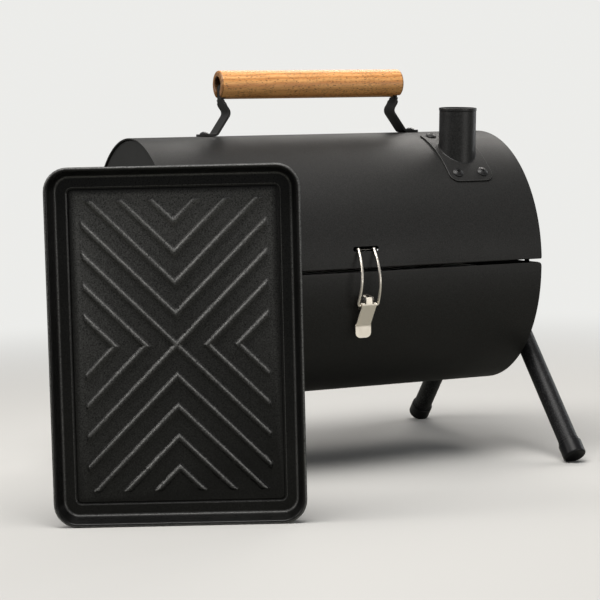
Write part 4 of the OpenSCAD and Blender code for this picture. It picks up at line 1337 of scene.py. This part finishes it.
def at_leg(x, row, down=0.0):
    """A leg's frame: its X stays along the barrel, and Z points down along the tube."""
    return (
        Matrix.Translation((x, 0, axis_z)) @ Matrix.Rotation(row * (math.pi - leg_angle), 4, "X")
        @ Matrix.Translation((0, 0, down))
    )


leg_enamel = new_enamel()
cap_plastic = new_cap_plastic()
tube_start = pivot_r - leg_over
tube_end = leg_end - cap_sole
edge_r = 0.4 * mm
inner_r = leg_r - leg_wall
beside_bolt = 6 * mm
tube_profile = [
    (leg_r, tube_start + edge_r), (leg_r, pivot_r - beside_bolt), (leg_r, pivot_r + beside_bolt),
    (leg_r, tube_end), (inner_r, tube_end), (inner_r, pivot_r + beside_bolt),
    (inner_r, pivot_r - beside_bolt), (inner_r, tube_start + edge_r),
    (inner_r + edge_r, tube_start), (leg_r - edge_r, tube_start),
]
cap_top = leg_end - cap_len
cap_mouth_r = leg_r + 0.02 * mm
cap_lip_r = leg_r + 0.6 * mm
cap_lip_h = 3.2 * mm
cap_edge_r = 2.2 * mm
cap_ease = 0.25 * mm
cap_profile = [
    (0, tube_end), (cap_mouth_r, tube_end), (cap_mouth_r, cap_top + 0.2 * mm),
    (cap_mouth_r + 0.2 * mm, cap_top), (cap_lip_r - cap_ease, cap_top),
    (cap_lip_r, cap_top + cap_ease), (cap_lip_r, cap_top + cap_lip_h),
    (cap_r - cap_ease, cap_top + cap_lip_h), (cap_r, cap_top + cap_lip_h + cap_ease),
    (cap_r, leg_end - cap_edge_r)]
cap_profile += [
    (cap_r - cap_edge_r * (1 - math.cos(a)), leg_end - cap_edge_r * (1 - math.sin(a)))
    for a in arc(15, 15, 6)
]
cap_profile.append((0, leg_end))
for side, where in ends:
    for row, depth in ((-1, "back"), (1, "front")):
        tube_bm = turn(tube_profile, steps=64, ring=True)
        bolt_hole = bmesh.new()
        bmesh.ops.create_cone(
            bolt_hole, cap_ends=True, segments=32, radius1=bolt_hole_r, radius2=bolt_hole_r,
            depth=bolt_hole_len, matrix=Matrix.Translation((0, 0, pivot_r)) @ along_x)
        carve(tube_bm, bolt_hole)
        put(tube_bm, at_leg(side * leg_x, row))
        fit(f"leg_enamelled_{depth}_{where}", tube_bm, f"leg_{depth}_{where}",
            leg_enamel, f"leg_tube_{depth}_{where}")
        cap_bm = turn(cap_profile, steps=72)
        put(cap_bm, at_leg(side * leg_x, row))
        cut = cut_plane(cap_bm, (0, 0, 0), (0, 0, 1), clear_inner=True)["geom_cut"]
        bmesh.ops.contextual_create(
            cap_bm, geom=[e for e in cut if isinstance(e, bmesh.types.BMEdge)])
        fit(f"foot_cap_moulded_{depth}_{where}", cap_bm, f"leg_{depth}_{where}",
            cap_plastic, f"foot_cap_{depth}_{where}", sharp=30)


# Leg bolts. Blackened steel, with button heads and a hexagon socket. The heads lie
# against the tubes, and the shanks go through spacers and end plates to nuts inside.

bolt_r = 3 * mm
bolt_head_r = 6 * mm
bolt_head_h = 3 * mm
leg_seat = 0.3 * mm
bolt_tail = 2 * mm
head_x = leg_x + leg_r + leg_seat
tail_x = end_x - sheet_t - nut_h - bolt_tail
key_r = 2.1 * mm
key_mouth_r = 2.3 * mm


def button_bolt(shank_len):
    """A button-head bolt with a hexagon socket."""
    made = headed_shank(
        bolt_r, shank_len, bolt_head_r, bolt_head_h, side_h=0.35 * mm, ease=0.15 * mm)
    key = bmesh.new()
    bmesh.ops.create_cone(
        key, cap_ends=True, segments=6, radius1=key_r, radius2=key_mouth_r, depth=4 * mm,
        matrix=Matrix.Translation((0, 0, bolt_head_h + 0.2 * mm)))
    carve(made, key)
    return made


def at_pivots(x, way=1):
    """Places on the four legs' bolts at some distance from the middle, facing out or in."""
    return [
        at_leg(side * x, row, pivot_r) @ Matrix.Rotation(way * side * math.pi / 2, 4, "Y")
        for side, row in four
    ]


fit_copies(
    "leg_bolts_driven", button_bolt(head_x - tail_x), at_pivots(head_x), "base",
    black_steel, "leg_bolts", sharp=35)


# Spacers and nuts. Turned steel spacers hold the legs off the end plates, and hexagon
# nuts with chamfered corners close the bolts inside. Smaller nuts inside the lid hold
# the screws of the saddle and the handle.

leg_nut_af = 10 * mm
nut_af = 8 * mm
nut_ease = 0.5 * mm
nut_face = 0.93
spacer_r = bolt_r + 3.5 * mm
spacer_ease = 0.3 * mm
spacer_len = leg_x - leg_r - leg_seat - end_x


def hex_nut(across, bore):
    """A hexagon nut with its seat at the origin and its body above."""
    corner = across / math.sqrt(3)
    flat = across / 2 * nut_face
    return turn([
        (bore, 0), (bore, nut_h), (flat, nut_h), (corner, nut_h - nut_ease), (corner, nut_ease),
        (flat, 0)], steps=6, ring=True)


spacer = turn([
    (bolt_r, 0), (spacer_r - spacer_ease, 0), (spacer_r, spacer_ease),
    (spacer_r, spacer_len - spacer_ease), (spacer_r - spacer_ease, spacer_len),
    (bolt_r, spacer_len)], steps=40, ring=True)
fit_copies(
    "leg_spacers_turned", spacer, at_pivots(end_x), "base", bare_steel,
    "leg_spacers")
fit_copies(
    "leg_nuts_set", hex_nut(leg_nut_af, bolt_r), at_pivots(end_x - sheet_t, -1), "base",
    bare_steel, "leg_nuts", sharp=30)

for name, places in (
    ("chimney", [(chimney_x + side * saddle_screw_w / 2, chimney_turn + way * saddle_screw_turn)
                 for side, way in four]),
    ("handle", [(side * handle_screw_x, 0) for side in (-1, 1)]),
):
    fit_copies(
        f"{name}_nuts_set", hex_nut(nut_af, screw_r),
        [on_barrel(x, turned, lid_r - sheet_t - 0.1 * mm, lid_z) @ Matrix.Rotation(math.pi, 4, "X")
         for x, turned in places],
        "lid", bare_steel, f"{name}_nuts", sharp=30)


# Rails. Four lengths of steel angle on the insides of the base's end plates carry the
# cooking grate above and the charcoal grate below.

rail_w = 12 * mm
rail_t = 1.5 * mm
rail_drop = 16 * mm
rail_half = 92 * mm
coal_drop = 86 * mm
coal_rail_half = 52 * mm
rail_x = end_x - sheet_t

for name, level, half in (("grate", rail_drop, rail_half), ("coal", coal_drop, coal_rail_half)):
    for side, where in ends:
        rail = bmesh.new()
        trace(rail, [
            (0, 0, 0), (-rail_w, 0, 0.5 * mm), (-rail_w, -rail_t, 0.5 * mm),
            (-rail_t, -rail_t, 1 * mm), (-rail_t, -rail_w, 0.5 * mm), (0, -rail_w, 0.5 * mm)])
        blank(rail, 2 * half, edge=0.2 * mm)
        put(rail, Matrix((
            (side, 0, 0, side * rail_x), (0, 0, 1, half), (0, 1, 0, axis_z - level), (0, 0, 0, 1))))
        if rail.calc_volume(signed=True) < 0:
            bmesh.ops.reverse_faces(rail, faces=rail.faces[:])
        fit(f"{name}_rail_bent_{where}", rail, "base", powder_coat,
            f"{name}_rail_{where}")


# Grates. Welded steel wire: a frame with round corners, bars across it and two
# stiffeners below. The cooking grate is fine, the charcoal grate is stouter.

frame_rod_r = 2.5 * mm
bar_r = 1.5 * mm
bar_pitch = 12.5 * mm
coal_bar_r = 1.3 * bar_r
coal_pitch = 15 * mm
bar_rise = 0.3
weld_pitch = 1.8
stiffener_in = 3 * mm
grate_corner = 12 * mm
grate_half = rail_x - 3 * mm
grate_half_w = barrel_r - 11 * mm
coal_half = rail_x - nut_h - bolt_tail - 1.5 * mm
coal_half_w = 74 * mm
seat_gap = 0.3 * mm
grate_wire, wire_shader = new_finish("grate_wire", (0.50, 0.49, 0.47), 0.36, metallic=1.0)
wire_grain = noise(grate_wire, object_place(grate_wire), 260.0, 4.0)
dress(
    grate_wire, wire_shader, tone(grate_wire, wire_grain, (0.36, 0.35, 0.33), (0.60, 0.59, 0.57)),
    between(grate_wire, wire_grain, 0.24, 0.5))


def round_box(half_x, half_y, corner_r, height, steps):
    """Points round a rectangle with round corners, at some height."""
    points = []
    for k in range(4):
        side_x = 1 if k in (0, 3) else -1
        side_y = 1 if k in (0, 1) else -1
        for a in [math.pi / 2 * (k + part / steps) for part in range(steps + 1)]:
            points.append(Vector((
                side_x * (half_x - corner_r) + corner_r * math.cos(a),
                side_y * (half_y - corner_r) + corner_r * math.sin(a), height)))
    return points


def grate(half_len, half_w, rod_r, pitch, level):
    """A wire grate whose frame lies with its middle at a level."""
    made = bmesh.new()
    frame_x = half_len - frame_rod_r
    frame_y = half_w - frame_rod_r
    wire(made, round_box(frame_x, frame_y, grate_corner - frame_rod_r, level, 6),
         frame_rod_r, closed=True)
    count = math.ceil(2 * frame_x / pitch)
    bar_z = level + bar_rise * frame_rod_r
    for k in range(1, count):
        x = -frame_x + 2 * frame_x * k / count
        wire(made, [Vector((x, y, bar_z)) for y in (-frame_y, frame_y)], rod_r, around=10)
    reach = half_len - rail_w - stiffener_in
    under_z = bar_z - weld_pitch * rod_r
    for y in (-half_w / 3, half_w / 3):
        wire(made, [Vector((x, y, under_z)) for x in (-reach, reach)], rod_r, around=10)
    return made


for name, half_len, half_w, rod_r, pitch, drop_z in (
    ("cooking", grate_half, grate_half_w, bar_r, bar_pitch, rail_drop),
    ("charcoal", coal_half, coal_half_w, coal_bar_r, coal_pitch, coal_drop),
):
    level = axis_z - drop_z + frame_rod_r + seat_gap
    fit(f"{name}_grate_welded", grate(half_len, half_w, rod_r, pitch, level), f"{name}_grate",
        grate_wire, f"{name}_grate", sharp=60)


# Griddle plate. Pressed from 1.5 mm steel with a rolled rim, a sloping wall and a groove
# round its field of ribs: two that cross, and V shapes that open outwards on all sides.
# It is coated, stands on its short edge and is a separate piece.

griddle_w = 210 * mm
griddle_h = 298 * mm
griddle_depth = 15 * mm
griddle_t = 1.5 * mm
griddle_corner_r = 20 * mm
griddle_x = -234 * mm
griddle_y = -246.5 * mm
griddle_turn = math.radians(-24)
groove_in = 18 * mm
groove_corner_r = 4 * mm
wall_in = 10 * mm
rib_pitch = 25.6 * mm
rib_half_w = 3.5 * mm
rib_top_half = 0.9 * mm
rib_h = 2.3 * mm
rib_end_slope = 1.4 * mm
rib_end_x = 77 * mm
rib_end_y = 122 * mm
rib_grid = 24
field_x = 80 * mm
field_y = 125 * mm
back_share = 0.85
griddle_place = (
    Matrix.Translation((griddle_x, griddle_y, griddle_h / 2))
    @ Matrix.Rotation(griddle_turn, 4, "Z")
    @ Matrix.Translation((0, griddle_depth, 0)) @ Matrix.Rotation(math.pi / 2, 4, "X")
)


def smooth_step(value):
    """Rises from 0 to 1 with level ends."""
    value = min(max(value, 0), 1)
    return value * value * (3 - 2 * value)


def rib_rise(x, y):
    """Height of the ribs at a point. All four quarters of the field are alike."""
    x, y = abs(x), abs(y)
    shift = (y - x) / rib_pitch
    line = min(max(round(shift), -2), 4)
    off = abs(shift - line) * rib_pitch / math.sqrt(2)
    flank = smooth_step((rib_half_w - off) / (rib_half_w - rib_top_half))
    end = min(rib_end_x - x, rib_end_y - y)
    return rib_h * min(flank, smooth_step(end / rib_end_slope))


def rib_field():
    """The ribbed field as a sheet of faces. Its grid runs with the ribs."""
    step = rib_pitch / math.sqrt(2) / rib_grid
    count = 2 * math.ceil((field_x + field_y) / math.sqrt(2) / step)
    sheet = bmesh.new()
    bmesh.ops.create_grid(
        sheet, x_segments=count, y_segments=count, size=count * step / 2,
        matrix=Matrix.Rotation(math.pi / 4, 4, "Z"))
    for axis, half in ((0, field_x), (1, field_y)):
        for side in (-1, 1):
            way = Vector((0, 0, 0))
            way[axis] = side
            cut_plane(sheet, way * half, way, clear_outer=True)
    bmesh.ops.remove_doubles(sheet, verts=sheet.verts[:], dist=0.08 * step)
    for vert in sheet.verts:
        vert.co.z = rib_rise(vert.co.x, vert.co.y)
    bmesh.ops.dissolve_limit(
        sheet, angle_limit=math.radians(0.5), verts=sheet.verts[:], edges=sheet.edges[:],
        delimit={"NORMAL"})
    return sheet


def close_row(bm, row):
    """Joins a row of points with edges, as the border of a flat face."""
    return [bm.edges.get(pair) or bm.edges.new(pair) for pair in zip(row, row[1:] + row[:1])]


# Rows across the rim, as (inset in mm, height in mm, wear and painted highlight): first
# the groove, then the wall, the roll and the back.
rim_roll = 1.7
rim_roll_z = 13.3
groove_rows = [
    (19.3, 1.5, 0), (18.9, 1.32, 0), (18.5, 0.92, 0), (18.0, 0.72, 0),
    (17.5, 0.92, 0), (17.1, 1.32, 0), (16.7, 1.5, 0.4), (16.2, 1.5, 0)]
wall_rows = [
    (9.4, 1.5, 0), (8.5, 1.62, 0.3), (7.8, 2.05, 0.5), (7.3, 2.8, 0.2), (6.7, 4.3, 0),
    (3.6, 12.0, 0), (3.3, 12.9, 0.1)]
# The roll's crest gets a narrow pale share: a painted highlight.
roll_rows = [
    (rim_roll * (1 + math.cos(a)), rim_roll_z + rim_roll * math.sin(a),
     max(0, math.sin(a - 0.5)) ** 12)
    for a in arc(10, 20, 14)
]
back_rows = [(2.6, 11.0, 0), (6.0, 2.4, 0), (6.6, 0.9, 0), (7.6, 0.2, 0), (9.0, 0, 0)]

griddle_bm = bmesh.new()
wear_and_sheen = griddle_bm.verts.layers.float.new("wear_and_sheen")
rows = []
for inset, height, wear_and_sheen_share in groove_rows + wall_rows + roll_rows + back_rows:
    inset *= mm
    corner_r = griddle_corner_r - inset
    if inset > wall_in:
        corner_r = groove_corner_r + groove_in - inset
    points = round_box(griddle_w / 2 - inset, griddle_h / 2 - inset, corner_r, height * mm, 8)
    row = [griddle_bm.verts.new(point) for point in points]
    for vert in row:
        vert[wear_and_sheen] = wear_and_sheen_share
    rows.append(row)
join_rows(griddle_bm, rows)

# Wear and painted light on the field: wear over its sheet, more to its border; painted
# light more to its top and left; a painted highlight along each rib's upper flank.
field_wear = 0.22
lit_left_share = 0.3
inner_share = 0.6
border_share = 0.6
rib_wear = 0.06
rib_highlight = 1.5
rib_highlight_place = 1.3 * mm
rib_highlight_reach = 0.55 * mm


def field_wear_and_light_at(x, y, rise):
    """Wear and painted light at a point of the field, from where it lies and how high on a rib."""
    shift = (abs(y) - abs(x)) / rib_pitch
    side = 1 if y > 0 else -1
    upper = side * (shift - round(shift)) * rib_pitch / math.sqrt(2)
    # A painted highlight in a thin line along each rib's upper flank.
    lit = math.exp(-((upper - rib_highlight_place) / rib_highlight_reach) ** 2)
    # A painted light, paler towards the top and the left of the field.
    light_lean = 1 + y / field_y - lit_left_share * x / field_x
    border = inner_share + border_share * max(abs(x) / field_x, abs(y) / field_y) ** 3
    return field_wear * light_lean * border + rise * (rib_wear + rib_highlight * lit)


for row, lift, share in ((rows[0], griddle_t, 1.0), (rows[-1], 0, back_share)):
    sheet = rib_field()
    held = set(griddle_bm.edges)
    fresh = join_copy(griddle_bm, sheet)
    sheet.free()
    for vert in fresh:
        if lift:
            vert[wear_and_sheen] = field_wear_and_light_at(vert.co.x, vert.co.y, vert.co.z / rib_h)
        vert.co.z = lift + share * vert.co.z
    border = [e for e in griddle_bm.edges if e not in held and e.is_boundary]
    bmesh.ops.triangle_fill(
        griddle_bm, edges=border + close_row(griddle_bm, row), use_beauty=True, normal=(0, 0, 1))
bmesh.ops.recalc_face_normals(griddle_bm, faces=griddle_bm.faces[:])
if griddle_bm.calc_volume(signed=True) < 0:
    bmesh.ops.reverse_faces(griddle_bm, faces=griddle_bm.faces[:])
put(griddle_bm, griddle_place)


def new_nonstick():
    """Non-stick coating: black with coarse grey speckles, paled by wear and painted light."""
    material, shader = new_finish("speckled_nonstick", (0.01, 0.01, 0.01), 0.4, specular=0.22)
    place = object_place(material)
    grain = noise(material, place, 900.0, 4.0, 0.7)
    shade = between(material, noise(material, place, 26.0, 3.0), 0.75, 1.25, 0.3, 0.7)
    speck = tone(material, grain, (0.0022, 0.0022, 0.0022), (0.012, 0.012, 0.0115), 0.42, 0.68)
    tinted = add_node(
        material, "ShaderNodeVectorMath", {0: speck, 3: shade}, operation="SCALE").outputs[0]
    grain_share = between(material, grain, 0.0, 1.0, 0.28, 0.78)
    # The mesh's share holds wear and painted light together; it pales the coat towards grey.
    wear_and_sheen_share = compute(material, "MULTIPLY", painted(material, "wear_and_sheen"), grain_share, use_clamp=True)
    skin = blend(material, wear_and_sheen_share, tinted, (0.30, 0.30, 0.295, 1))
    gloss = between(material, grain, 0.20, 0.40)
    dress(material, shader, skin, gloss, grain, strength=0.35, depth=0.12 * mm)
    return material


fit("griddle_pressed", griddle_bm, "griddle", new_nonstick(), "griddle_plate",
    sharp=60)
